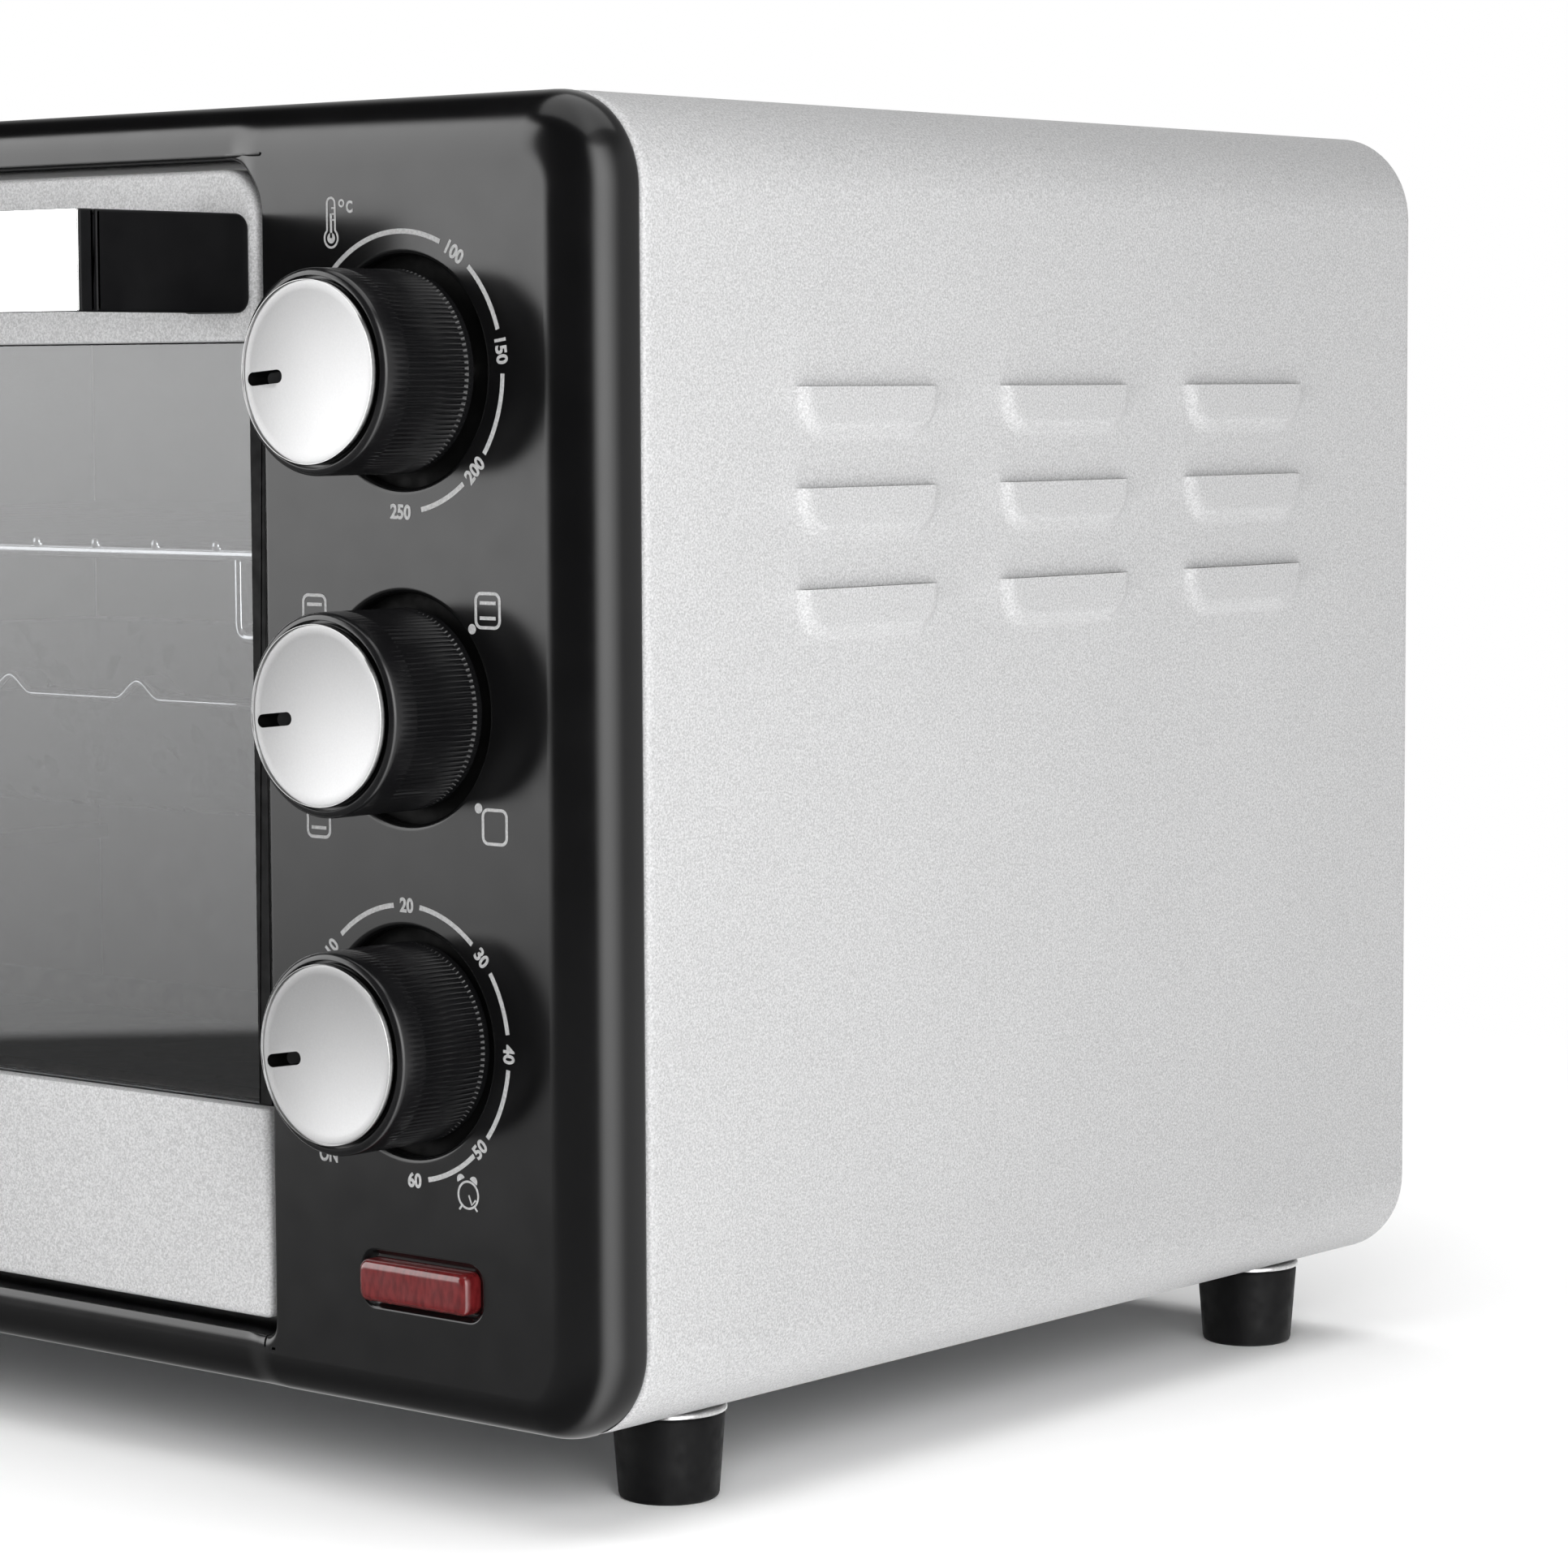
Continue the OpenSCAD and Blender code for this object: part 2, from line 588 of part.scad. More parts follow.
module internal_wires() color([0.8, 0.78, 0.72]) place() {
    back = control_y + 34;
    wire([[152, 214, 36], [152, 214, 46], [154, 206, 60], [160, 150, 72], [168, 70, 75],
        [168, 56, 73], [168, back, 73]]);
    wire([[152, 228, 36], [152, 228, 50], [155, 216, 90], [162, 150, 150], [168, 70, 190],
        [169, 52, 198], [169, control_y + 32, 198]]);
    wire([[cav_x1 + 13, element_ys[0], upper_z], [cav_x1 + 26, element_ys[0], upper_z],
        [154, 72, 208], [168, 66, 180], [171, 60, 160], [171, 48, 145], [171, control_y + 28, 145]]);
    wire([[cav_x1 + 13, element_ys[0], lower_z], [cav_x1 + 26, element_ys[0], lower_z],
        [152, 70, 50], [158, 66, 90], [168, 58, 120], [171, 48, 127], [171, control_y + 28, 127]]);
    wire([[166, skin_t + 23, 27], [166, 40, 27], [160, 60, 24], [164, 180, 14], [164, 196, 16],
        [152, 206, 24], [152, 210, 24]]);
    for (z = [upper_z, lower_z]) wire([[cav_x0 - 13.3, element_ys[0], z],
        [cav_x0 - 16, element_ys[0] + 1, z], [cav_x0 - 17, element_ys[0] + 5, z],
        [cav_x0 - 17, element_ys[1] - 5, z], [cav_x0 - 16, element_ys[1] - 1, z],
        [cav_x0 - 13.3, element_ys[1], z]]);
}

module cord_gland() color(black) place() difference() {
    union() {
        rod_y(10, body_d, body_d + 5, 168, 40);
        rod_y(7 - run_gap, body_d - 8, body_d + 5, 168, 40);
    }
    rod_y(4.2, body_d - 9, body_d + 6, 168, 40);
}

// ---- Feet and fasteners ----

module foot_holes(z0, z1) for (x = foot_xs, y = foot_ys) rod_z(2.2, z0, z1, x, y);

module feet() color(black) place() for (x = foot_xs, y = foot_ys) difference() {
    translate([x, y, -foot_h]) cylinder(r1 = foot_dia / 2 - 1.25, r2 = foot_dia / 2, h = foot_h - washer_t);
    rod_z(2.2, -foot_h - over, 0, x, y);
    rod_z(5.5, -foot_h - over, -foot_h + 8, x, y);
}

module foot_washers() color(silver) place() for (x = foot_xs, y = foot_ys) difference() {
    rod_z(foot_dia / 2 + 0.4, -washer_t, 0, x, y);
    rod_z(2.2, -washer_t - over, over, x, y);
}

module foot_screws() color(zinc) place() for (x = foot_xs, y = foot_ys) {
    rod_z(3.8, -foot_h + 5.6, -foot_h + 8, x, y);
    rod_z(1.95, -foot_h + 6, 7, x, y);
}

module foot_nuts() color(zinc) place() for (x = foot_xs, y = foot_ys) difference() {
    rod_z(4, 2 * sheet_t, 2 * sheet_t + 3.2, x, y, 6);
    rod_z(2, 0, 6, x, y);
}

module case_screws() color(zinc) place() for (x = [-160, 0, 160], z = [6.2, body_h - 6.2])
    mirror([0, 1, 0]) screw_y(3.4, 1.8, 1.6, 8, x, -body_d, z);

module hinge_brackets() color(zinc) place() difference() {
    for (x = [well_x0 - skin_t - hinge_bracket_t, well_x1 + skin_t])
        block(x, x + hinge_bracket_t, 3, frame_d, hinge_z - 6, hinge_z + 6);
    hinge_bores();
}

// Torsion coil round each hinge pin, outside its bracket
module hinge_springs() color(steel) place() {
    turns = 2.5;
    steps = 12;
    coil_l = 2.4;
    coil_r = 2.65;
    for (x = [well_x0 - skin_t - hinge_bracket_t - 0.5 - coil_l,
              well_x1 + skin_t + hinge_bracket_t + 0.5])
        sweep([for (i = [0:turns * steps]) [x + coil_l * i / (turns * steps),
            hinge_y + coil_r * cos(360 * i / steps), hinge_z + coil_r * sin(360 * i / steps)]], 0.4, 6);
}

// ---- Door ----

module rail_hollow(z0, z1, r_top) slab_y(door_face_y + sheet_t, door_back_y - sheet_t)
    rounded(door_x0 + sheet_t, door_x1 - sheet_t, z0, z1, r_top, 0);

module door_top_rail() color(silver) place() difference() {
    low = door_z1 - top_rail_h;
    slab_y(door_face_y, door_back_y) rounded(door_x0, door_x1, low, door_z1, door_r, 0);
    rail_hollow(low - over, door_z1 - sheet_t, door_r - sheet_t);
    handle_screw_holes();
}

module door_bottom_rail() color(silver) place() difference() {
    slab_y(door_face_y, door_back_y) rounded(door_x0, door_x1, door_z0, door_z0 + bottom_rail_h, 0, 2);
    rail_hollow(door_z0 + sheet_t, door_z0 + bottom_rail_h + over, 0);
    for (x = [door_x0 - over, door_x1 - sheet_t - over])
        rod_x(pin_r + run_gap, x, x + sheet_t + 2 * over, hinge_y, hinge_z);
}

module handle_screw_holes() for (x = handle_screw_xs())
    rod_y(2.2, door_face_y - over, door_back_y + over, x, handle_screw_z);

function handle_screw_xs() = [handle_x0 + handle_foot - 5, handle_x1 - handle_foot + 5];

module door_glass() color([0.5, 0.52, 0.53, 0.4]) place()
    block(door_x0 + 1, door_x1 - 1, glass_y0, glass_y0 + glass_t, glass_z0, glass_z1);

// One rubber channel round the glass's lower edge and one round its upper edge
module glass_seals() color([0.08, 0.08, 0.08]) place() difference() {
    for (z = [glass_z0 - 2, glass_z1 + 2 - seal_w])
        block(door_x0 + 1, door_x1 - 1, door_face_y + sheet_t, door_back_y - sheet_t, z, z + seal_w);
    block(door_x0, door_x1, glass_y0, glass_y0 + glass_t, glass_z0, glass_z1);
}

// Each pin is one piece with the square shank that the bottom rail holds
module hinge_pins() color(zinc) place() {
    for (x = [door_x0 + sheet_t, door_x1 - sheet_t - 12])
        block(x, x + 12, hinge_y - 2.6, hinge_y + 2.6, hinge_z - 2.6, hinge_z + 2.6);
    rod_x(pin_r, well_x0 - skin_t - 7, door_x0 + 2, hinge_y, hinge_z);
    rod_x(pin_r, door_x1 - 2, well_x1 + skin_t + 7, hinge_y, hinge_z);
}

// Hollow bar whose front skin runs out over the ends of both brackets
module handle_bar() color([0.9, 0.9, 0.9]) place() difference() {
    union() {
        slab_x(handle_x0 + bracket_t, handle_x1 - bracket_t)
            rounded(-handle_reach, -handle_reach + handle_bar_d, handle_z0, handle_z1, 0.8, 0.8);
        block(handle_x0, handle_x1, -handle_reach, -handle_reach + bar_wall, handle_z0, handle_z1);
    }
    slab_x(handle_x0 + over, handle_x1 - over)
        rounded(-handle_reach + bar_wall, -handle_reach + handle_bar_d - bar_wall,
            handle_z0 + bar_wall, handle_z1 - bar_wall, 0.8, 0.8);
}

// Plate at x_end with a foot on the door and a spigot into the bar, both reaching inward
module handle_bracket(x_end, inward) difference() {
    plate_y = -handle_reach + bar_wall;
    union() {
        slab_x(x_end, x_end + inward * bracket_t) rounded(plate_y, door_face_y, handle_z0, handle_z1, 2, 2);
        block(x_end + inward, x_end + inward * handle_foot, door_face_y - 4, door_face_y,
            handle_z0, handle_z1);
        block(x_end + inward, x_end + inward * spigot_l,
            plate_y + snug, handle_bar_d - bar_wall - snug - handle_reach,
            handle_z0 + bar_wall + snug, handle_z1 - bar_wall - snug);
    }
    for (x = handle_screw_xs()) rod_y(1.6, door_face_y - 5, door_face_y + over, x, handle_screw_z);
}

module handle_bracket_left() color(black) place() handle_bracket(handle_x0, 1);

module handle_bracket_right() color(black) place() handle_bracket(handle_x1, -1);

module handle_screws() color(zinc) place() for (x = handle_screw_xs())
    mirror([0, 1, 0]) screw_y(3.6, 1.6, 1.55, 14, x, -door_back_y, handle_screw_z);

outer_case();
front_frame();
rear_panel();
base_plate();
cavity_top();
cavity_floor();
cavity_back();
cavity_wall_left();
cavity_wall_right();
heat_shield();
upper_heating_elements();
lower_heating_elements();
element_insulators();
baking_tray();
crumb_tray();
thermostat();
mode_switch();
timer();
control_screws();
lamp_lens();
lamp_holder();
terminal_block();
internal_wires();
cord_gland();
feet();
foot_washers();
foot_screws();
foot_nuts();
case_screws();
hinge_brackets();
hinge_springs();
door_top_rail();
door_bottom_rail();
door_glass();
glass_seals();
hinge_pins();
handle_bar();
handle_bracket_left();
handle_bracket_right();
handle_screws();
wire_rack();
temperature_knob();
temperature_knob_cap();
thermostat_shaft();
mode_knob();
mode_knob_cap();
mode_switch_shaft();
timer_knob();
timer_knob_cap();
timer_shaft();
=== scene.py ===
import math

import bmesh
import bpy
from mathutils import Matrix, Vector
from mathutils.geometry import delaunay_2d_cdt


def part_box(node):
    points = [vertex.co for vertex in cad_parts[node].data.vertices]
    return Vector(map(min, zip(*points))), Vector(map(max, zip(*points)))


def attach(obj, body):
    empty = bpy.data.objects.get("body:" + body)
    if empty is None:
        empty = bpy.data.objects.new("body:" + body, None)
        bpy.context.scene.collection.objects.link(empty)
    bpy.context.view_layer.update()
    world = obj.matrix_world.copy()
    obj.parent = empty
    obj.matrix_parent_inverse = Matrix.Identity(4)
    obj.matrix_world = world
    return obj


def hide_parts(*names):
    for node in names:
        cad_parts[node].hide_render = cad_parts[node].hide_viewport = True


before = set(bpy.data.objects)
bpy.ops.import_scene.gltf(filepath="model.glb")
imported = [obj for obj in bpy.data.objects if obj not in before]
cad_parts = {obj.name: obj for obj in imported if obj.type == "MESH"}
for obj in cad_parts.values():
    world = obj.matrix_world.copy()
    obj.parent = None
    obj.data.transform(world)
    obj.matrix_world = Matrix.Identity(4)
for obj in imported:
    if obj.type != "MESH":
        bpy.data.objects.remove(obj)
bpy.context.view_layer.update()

MM = 0.001
SCENE = bpy.context.scene
frame_lo, frame_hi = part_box("front_frame")
ORIGIN = Vector(((frame_lo.x + frame_hi.x) / 2, frame_lo.y, frame_lo.z))


def row(point):
    """A point in oven millimetres as a point in the row frame, in metres."""
    return ORIGIN + Vector(point) * MM


def span(node):
    """Lowest and highest corner of a CAD node, in oven millimetres."""
    lo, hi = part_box(node)
    return (lo - ORIGIN) / MM, (hi - ORIGIN) / MM


def smooth(t):
    """0 below 0, 1 above 1 and an even S curve between."""
    t = min(max(t, 0.0), 1.0)
    return t * t * (3 - 2 * t)


# ---- Shapes ----


class Shape:
    """A mesh under construction, in oven millimetres."""

    def __init__(self):
        self.points = []
        self.faces = []
        self.slots = []

    def loop(self, points):
        start = len(self.points)
        self.points.extend(Vector(p) for p in points)
        return list(range(start, len(self.points)))

    def face(self, ids, slot=0):
        self.faces.append(list(ids))
        self.slots.append(slot)

    def strip(self, a, b, slot=0, closed=True):
        """A band of quads between two loops with the same number of points."""
        count = len(a)
        for i in range(count if closed else count - 1):
            j = (i + 1) % count
            self.face((a[i], a[j], b[j], b[i]), slot)

    def sweep(self, loops, slot=0):
        for a, b in zip(loops, loops[1:]):
            self.strip(a, b, slot)
        return loops

    def capped(self, loops, slot=0):
        """Sweeps along loops and closes both ends."""
        self.sweep(loops, slot)
        self.face(loops[0], slot)
        self.face(loops[-1][::-1], slot)

    def flat(self, outer, holes, place, slot=0, seeds=()):
        """A face with holes: outlines are lists of 2-D points, and place makes them 3-D. seeds
        are further points inside, for a face that place curves."""
        flat_points = []
        edges = []
        for outline in [outer, *holes]:
            start = len(flat_points)
            flat_points += [Vector(p) for p in outline]
            edges += [(start + i, start + (i + 1) % len(outline)) for i in range(len(outline))]
        flat_points += [Vector(p) for p in seeds if not any(inside(Vector(p), h) for h in holes)]
        made, _, triangles, *_ = delaunay_2d_cdt(flat_points, edges, [], 0, 1e-6)
        ids = self.loop([place(p.x, p.y) for p in made])
        for t in triangles:
            middle = sum((made[i] for i in t), Vector((0, 0))) / len(t)
            if inside(middle, outer) and not any(inside(middle, h) for h in holes):
                self.face([ids[i] for i in t], slot)


def inside(p, outline):
    """True if a 2-D point lies inside a closed outline."""
    hit = False
    for (x0, y0), (x1, y1) in zip(outline, outline[1:] + outline[:1]):
        if (y0 > p.y) != (y1 > p.y) and p.x < (x1 - x0) * (p.y - y0) / (y1 - y0) + x0:
            hit = not hit
    return hit


def quarter(x, z, r, start, steps):
    """A quarter of a circle from an angle in degrees, as (point, outward direction) pairs."""
    turns = [math.radians(start + 90 * i / steps) for i in range(steps + 1)]
    return [((x + r * math.cos(a), z + r * math.sin(a)), (math.cos(a), math.sin(a))) for a in turns]


def rounded(x0, x1, z0, z1, radii, steps=12, breaks=()):
    """Outline of a rectangle with rounded corners, as (point, outward direction) pairs.
    radii run lower left, lower right, upper right, upper left; breaks are extra x values
    on the two level edges."""
    low_left, low_right, up_right, up_left = radii if isinstance(radii, tuple) else (radii,) * 4
    pairs = quarter(x1 - low_right, z0 + low_right, low_right, -90, steps)
    pairs += quarter(x1 - up_right, z1 - up_right, up_right, 0, steps)
    pairs += [((x, z1), (0, 1)) for x in sorted(breaks, reverse=True)]
    pairs += quarter(x0 + up_left, z1 - up_left, up_left, 90, steps)
    pairs += quarter(x0 + low_left, z0 + low_left, low_left, 180, steps)
    return pairs + [((x, z0), (0, -1)) for x in sorted(breaks)]


def circle(x, z, r, steps=64):
    """Outline of a circle as (point, outward direction) pairs."""
    turns = [2 * math.pi * i / steps for i in range(steps)]
    return [((x + r * math.cos(a), z + r * math.sin(a)), (math.cos(a), math.sin(a))) for a in turns]


def turned(p, degrees):
    """A 2-D point turned about the origin."""
    a = math.radians(degrees)
    return (p[0] * math.cos(a) - p[1] * math.sin(a), p[0] * math.sin(a) + p[1] * math.cos(a))


def inset(outline, d):
    """The outline's points moved inwards by d."""
    return [(p[0] - d * n[0], p[1] - d * n[1]) for p, n in outline]


def eased(outline, left=1.0, low=1.0, high=1.0):
    """The outline with its outward directions scaled on its left, low or high side, which
    makes a rounded edge narrower or wider there."""
    return [(p, (a * (left if a < 0 else 1.0), b * (low if b < 0 else high)))
            for p, (a, b) in outline]


def facing_front(depth):
    """Placer of 2-D points in x and z at a depth y."""
    return lambda a, b: Vector((a, depth, b))


def facing_side(x):
    """Placer of 2-D points in y and z at x."""
    return lambda a, b: Vector((x, a, b))


def facing_up(z):
    """Placer of 2-D points in x and y at height z."""
    return lambda a, b: Vector((a, b, z))


def rings(shape, outline, section, facing=facing_front):
    """One loop of the outline for each (inset, depth) of a section."""
    return [shape.loop([facing(depth)(*p) for p in inset(outline, d)]) for d, depth in section]


def rolled(d, depth, r, rise, steps=6):
    """Section of a rounded edge. It leaves inset d at depth + rise * r along the wall and
    ends at inset d + r, at depth."""
    turns = [math.pi / 2 * i / steps for i in range(steps + 1)]
    return [(d + r * (1 - math.cos(a)), depth + rise * r * (1 - math.sin(a))) for a in turns]


def slab(shape, outline, front, back, r_front, r_back, facing=facing_front):
    """A solid plate with rounded edges."""
    sign = 1 if back > front else -1
    rim = 0.3
    section = rolled(0, front, r_front, sign)[::-1] + rolled(0, back, r_back, -sign)
    section = [(r_front + rim, front), *section, (r_back + rim, back)]
    shape.capped(rings(shape, outline, section, facing))


def tube(shape, path, r, sides=16, slot=0, closed=False):
    """A round wire along points, with rounded ends."""
    path = [Vector(p) for p in path]
    last = len(path) - 1
    turns = [2 * math.pi * k / sides for k in range(sides)]
    loops = []
    u = Vector((0, 0, 1))
    for i, point in enumerate(path):
        before = path[i - 1] if closed or i else point
        after = path[(i + 1) % len(path)] if closed or i < last else point
        t = (after - before).normalized()
        u = u - u.dot(t) * t
        if u.length < 0.1:
            u = Vector((0, 1, 0)) - t.y * t
            if u.length < 0.1:
                u = Vector((1, 0, 0)) - t.x * t
        u.normalize()
        v = t.cross(u)
        ends = [(0, 1)]
        if not closed and i == 0:
            ends = [(0, 0.55), (0.3, 0.92), (0.7, 1)]
        elif not closed and i == last:
            ends = [(-0.7, 1), (-0.3, 0.92), (0, 0.55)]
        for along, width in ends:
            centre = point + along * r * t
            spokes = [math.cos(a) * u + math.sin(a) * v for a in turns]
            loops.append(shape.loop([centre + width * r * spoke for spoke in spokes]))
    if closed:
        shape.sweep([*loops, loops[0]], slot)
    else:
        shape.capped(loops, slot)


def bent(points, r, steps=6):
    """A path with each inner corner rounded to radius r."""
    points = [Vector(p) for p in points]
    out = [points[0]]
    for a, b, c in zip(points, points[1:], points[2:]):
        to_a = (a - b).normalized()
        to_c = (c - b).normalized()
        cut = min(r, (a - b).length / 2.1, (c - b).length / 2.1)
        start = b + to_a * cut
        end = b + to_c * cut
        for i in range(steps + 1):
            t = i / steps
            out.append(start * (1 - t) ** 2 + b * 2 * t * (1 - t) + end * t * t)
    out.append(points[-1])
    return out


def piece(name, shape, body, materials, stands_for=(), towards=None, sheet=0.0, angle=32):
    """Makes a Blender piece of a Shape and has it ride on a CAD body. towards is the way an
    open sheet's largest face looks, and sheet gives such a piece its thickness, inwards."""
    bm = bmesh.new()
    verts = [bm.verts.new(row(p)) for p in shape.points]
    for ids, index in zip(shape.faces, shape.slots):
        if len(set(ids)) > 2:
            try:
                bm.faces.new([verts[i] for i in ids]).material_index = index
            except ValueError:
                continue
    bmesh.ops.remove_doubles(bm, verts=bm.verts[:], dist=2e-6)
    bmesh.ops.dissolve_degenerate(bm, edges=bm.edges[:], dist=1e-6)
    bmesh.ops.delete(bm, geom=[v for v in bm.verts if not v.link_faces], context="VERTS")
    bmesh.ops.recalc_face_normals(bm, faces=bm.faces[:])
    if towards is not None:
        largest = max(bm.faces, key=lambda f: f.calc_area())
        if largest.normal.dot(Vector(towards)) < 0:
            bmesh.ops.reverse_faces(bm, faces=bm.faces[:])
    mesh = bpy.data.meshes.new(name)
    bm.to_mesh(mesh)
    bm.free()
    for m in materials:
        mesh.materials.append(m)
    for p in mesh.polygons:
        p.use_smooth = True
    obj = bpy.data.objects.new(name, mesh)
    SCENE.collection.objects.link(obj)
    if sheet:
        solidify = obj.modifiers.new("sheet", "SOLIDIFY")
        solidify.thickness = sheet * MM
        solidify.offset = -1
        solidify.use_rim = True
        thick = obj.evaluated_get(bpy.context.evaluated_depsgraph_get())
        obj.data = bpy.data.meshes.new_from_object(thick)
        obj.modifiers.clear()
        bpy.data.meshes.remove(mesh)
        mesh = obj.data
        mesh.name = name
    mesh.set_sharp_from_angle(angle=math.radians(angle))
    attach(obj, body)
    if stands_for:
        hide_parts(*stands_for)


# ---- Materials ----


class Nodes:
    """A node tree under construction."""

    def __init__(self, tree):
        self.tree = tree

    def node(self, kind, **settings):
        made = self.tree.nodes.new("ShaderNode" + kind)
        for key, value in settings.items():
            setattr(made, key, value)
        return made

    def link(self, output, socket):
        self.tree.links.new(output, socket)

    def ramp(self, value, low, high, start=0.3, end=0.7, kind="LINEAR"):
        """value from start to end becomes low to high, both as numbers or as colours."""
        made = self.node("MapRange", interpolation_type=kind)
        self.link(value, made.inputs["Value"])
        made.inputs["From Min"].default_value = start
        made.inputs["From Max"].default_value = end
        if isinstance(low, tuple):
            return self.blend(made.outputs[0], low, high)
        made.inputs["To Min"].default_value = low
        made.inputs["To Max"].default_value = high
        return made.outputs[0]

    def blend(self, factor, a, b):
        """Colour a where factor is 0 and b where it is 1; each may also be a socket."""
        mix = self.node("Mix", data_type="RGBA")
        sockets = (mix.inputs["Factor"], mix.inputs[6], mix.inputs[7])
        for socket, value in zip(sockets, (factor, a, b)):
            if isinstance(value, tuple):
                socket.default_value = (*value, 1)
            elif isinstance(value, float):
                socket.default_value = value
            else:
                self.link(value, socket)
        return mix.outputs[2]

    def mixed(self, factor, a, b):
        """Shader a where factor is 0 and b where it is 1."""
        made = self.node("MixShader")
        for socket, output in zip(made.inputs, (factor, a, b)):
            self.link(output, socket)
        return made.outputs[0]

    def maths(self, operation, *values):
        total = values[0]
        for value in values[1:]:
            made = self.node("Math", operation=operation)
            self.link(total, made.inputs[0])
            self.link(value, made.inputs[1])
            total = made.outputs[0]
        return total


class Recipe(Nodes):
    """A Principled material whose colour, roughness and bump come from noise on the object's
    own coordinates, in millimetres."""

    def __init__(self, name, colour, roughness, metallic=0.0, **sockets):
        self.material = bpy.data.materials.new(name)
        self.material.use_nodes = True
        super().__init__(self.material.node_tree)
        self.shader = self.tree.nodes["Principled BSDF"]
        self.output = self.tree.nodes["Material Output"]
        self.shader.inputs["Base Color"].default_value = (*colour, 1)
        self.shader.inputs["Roughness"].default_value = roughness
        self.shader.inputs["Metallic"].default_value = metallic
        for socket, value in sockets.items():
            self.shader.inputs[socket.replace("_", " ")].default_value = value
        self.coords = self.node("TexCoord")
        self.where = self.node("VectorMath", operation="SCALE")
        self.where.inputs["Scale"].default_value = 1 / MM
        self.link(self.coords.outputs["Object"], self.where.inputs[0])
        self.height = None

    def textured(self, kind, size, stretch=(1, 1, 1)):
        """A texture with a grain of size millimetres, its coordinates scaled by stretch."""
        scaled = self.node("VectorMath", operation="MULTIPLY")
        self.link(self.where.outputs[0], scaled.inputs[0])
        scaled.inputs[1].default_value = stretch
        made = self.node(kind)
        made.inputs["Scale"].default_value = 1 / size
        self.link(scaled.outputs[0], made.inputs["Vector"])
        return made

    def noise(self, size, detail=2.0, stretch=(1, 1, 1), rough=0.5):
        made = self.textured("TexNoise", size, stretch)
        made.inputs["Detail"].default_value = detail
        made.inputs["Roughness"].default_value = rough
        return made.outputs["Fac"]

    def cells(self, size, output="Color"):
        return self.textured("TexVoronoi", size).outputs[output]

    def colour(self, socket):
        self.link(socket, self.shader.inputs["Base Color"])

    def roughness(self, socket):
        self.link(socket, self.shader.inputs["Roughness"])

    def bump(self, value, height, strength):
        """Adds relief of a height in millimetres."""
        made = self.node("Bump")
        made.inputs["Distance"].default_value = height * MM
        made.inputs["Strength"].default_value = strength
        self.link(value, made.inputs["Height"])
        if self.height is not None:
            self.link(self.height, made.inputs["Normal"])
        self.height = made.outputs[0]
        self.link(self.height, self.shader.inputs["Normal"])
        self.link(self.height, self.shader.inputs["Coat Normal"])

    def surface(self, output):
        self.link(output, self.output.inputs["Surface"])


def tone(grey, blue=0.0):
    return (grey, grey, grey + blue)


def shade(colour, share):
    return tuple(min(c * share, 0.98) for c in colour)


def mottled(name, dark, light, rough, drift, wear, relief, metallic=0.0, **sockets):
    """A recipe that drifts between two colours and two roughnesses. drift and wear are the
    noises of both, and relief is the noise, height and strength of its bump."""
    middle = tuple((a + b) / 2 for a, b in zip(dark, light))
    r = Recipe(name, middle, sum(rough) / 2, metallic, **sockets)
    r.colour(r.ramp(r.noise(*drift), dark, light))
    r.roughness(r.ramp(r.noise(*wear), *rough))
    noise, height, strength = relief
    r.bump(r.noise(*noise), height, strength)
    return r


def metal(name, colour, roughness, grain=0.6, depth=0.01, stretch=(1, 1, 1), spread=0.06):
    """Bare metal with a grain that can be stretched along one direction."""
    brushed = (grain, 4.0, stretch, 0.6)
    rough = (roughness - spread, roughness + spread)
    return mottled(name, shade(colour, 0.86), shade(colour, 1.08), rough, brushed, (6, 3.0),
                   (brushed, depth, 0.5), 1.0).material


def plain(name, colour, roughness, size=4.0):
    """Moulded or ceramic material with slight mottling."""
    rough = (roughness - 0.06, roughness + 0.08)
    return mottled(name, shade(colour, 0.85), shade(colour, 1.1), rough, (size, 3.0),
                   (size / 2, 3.0), ((0.5, 2.0), 0.02, 0.4)).material


def sheet_steel(name, colour, roughness, cell, metallic=0.9):
    """Zinc or aluminium coated sheet with its crystal pattern and faint stains."""
    r = Recipe(name, colour, roughness, metallic)
    crystals = r.ramp(r.cells(cell), shade(colour, 0.82), shade(colour, 1.12), 0.1, 0.9)
    stains = r.ramp(r.noise(30, 4.0), 0.0, 0.35, 0.5, 0.75)
    r.colour(r.blend(stains, crystals, shade(colour, 0.6)))
    r.roughness(r.ramp(r.noise(4, 4.0), roughness - 0.08, roughness + 0.1))
    r.bump(r.noise(1.2, 3.0), 0.02, 0.4)
    return r.material


def silver_paint():
    """Satin paint with fine metal flakes and a slight orange peel."""
    r = Recipe("silver_paint", tone(0.61, 0.005), 0.42)
    grain = r.noise(0.42, 3.0, rough=0.62)
    flecks = r.ramp(grain, tone(0.41, 0.005), tone(0.81, 0.005), 0.34, 0.66)
    cloud = r.ramp(r.noise(38), tone(0.59, 0.005), tone(0.64, 0.005))
    r.colour(r.blend(0.25, flecks, cloud))
    r.roughness(r.ramp(r.cells(0.6), 0.34, 0.48, 0.1, 0.9))
    r.bump(grain, 0.030, 0.5)
    r.bump(r.noise(2.6), 0.04, 0.2)
    return r.material


def black_paint():
    r = mottled("black_paint", tone(0.0025, 0.0002), tone(0.0036, 0.0002), (0.165, 0.205),
                (24, 3.0), (9, 4.0), ((0.9, 2.0), 0.003, 0.3), Specular_IOR_Level=0.52)
    r.bump(r.noise(14), 0.02, 0.1)
    return r.material


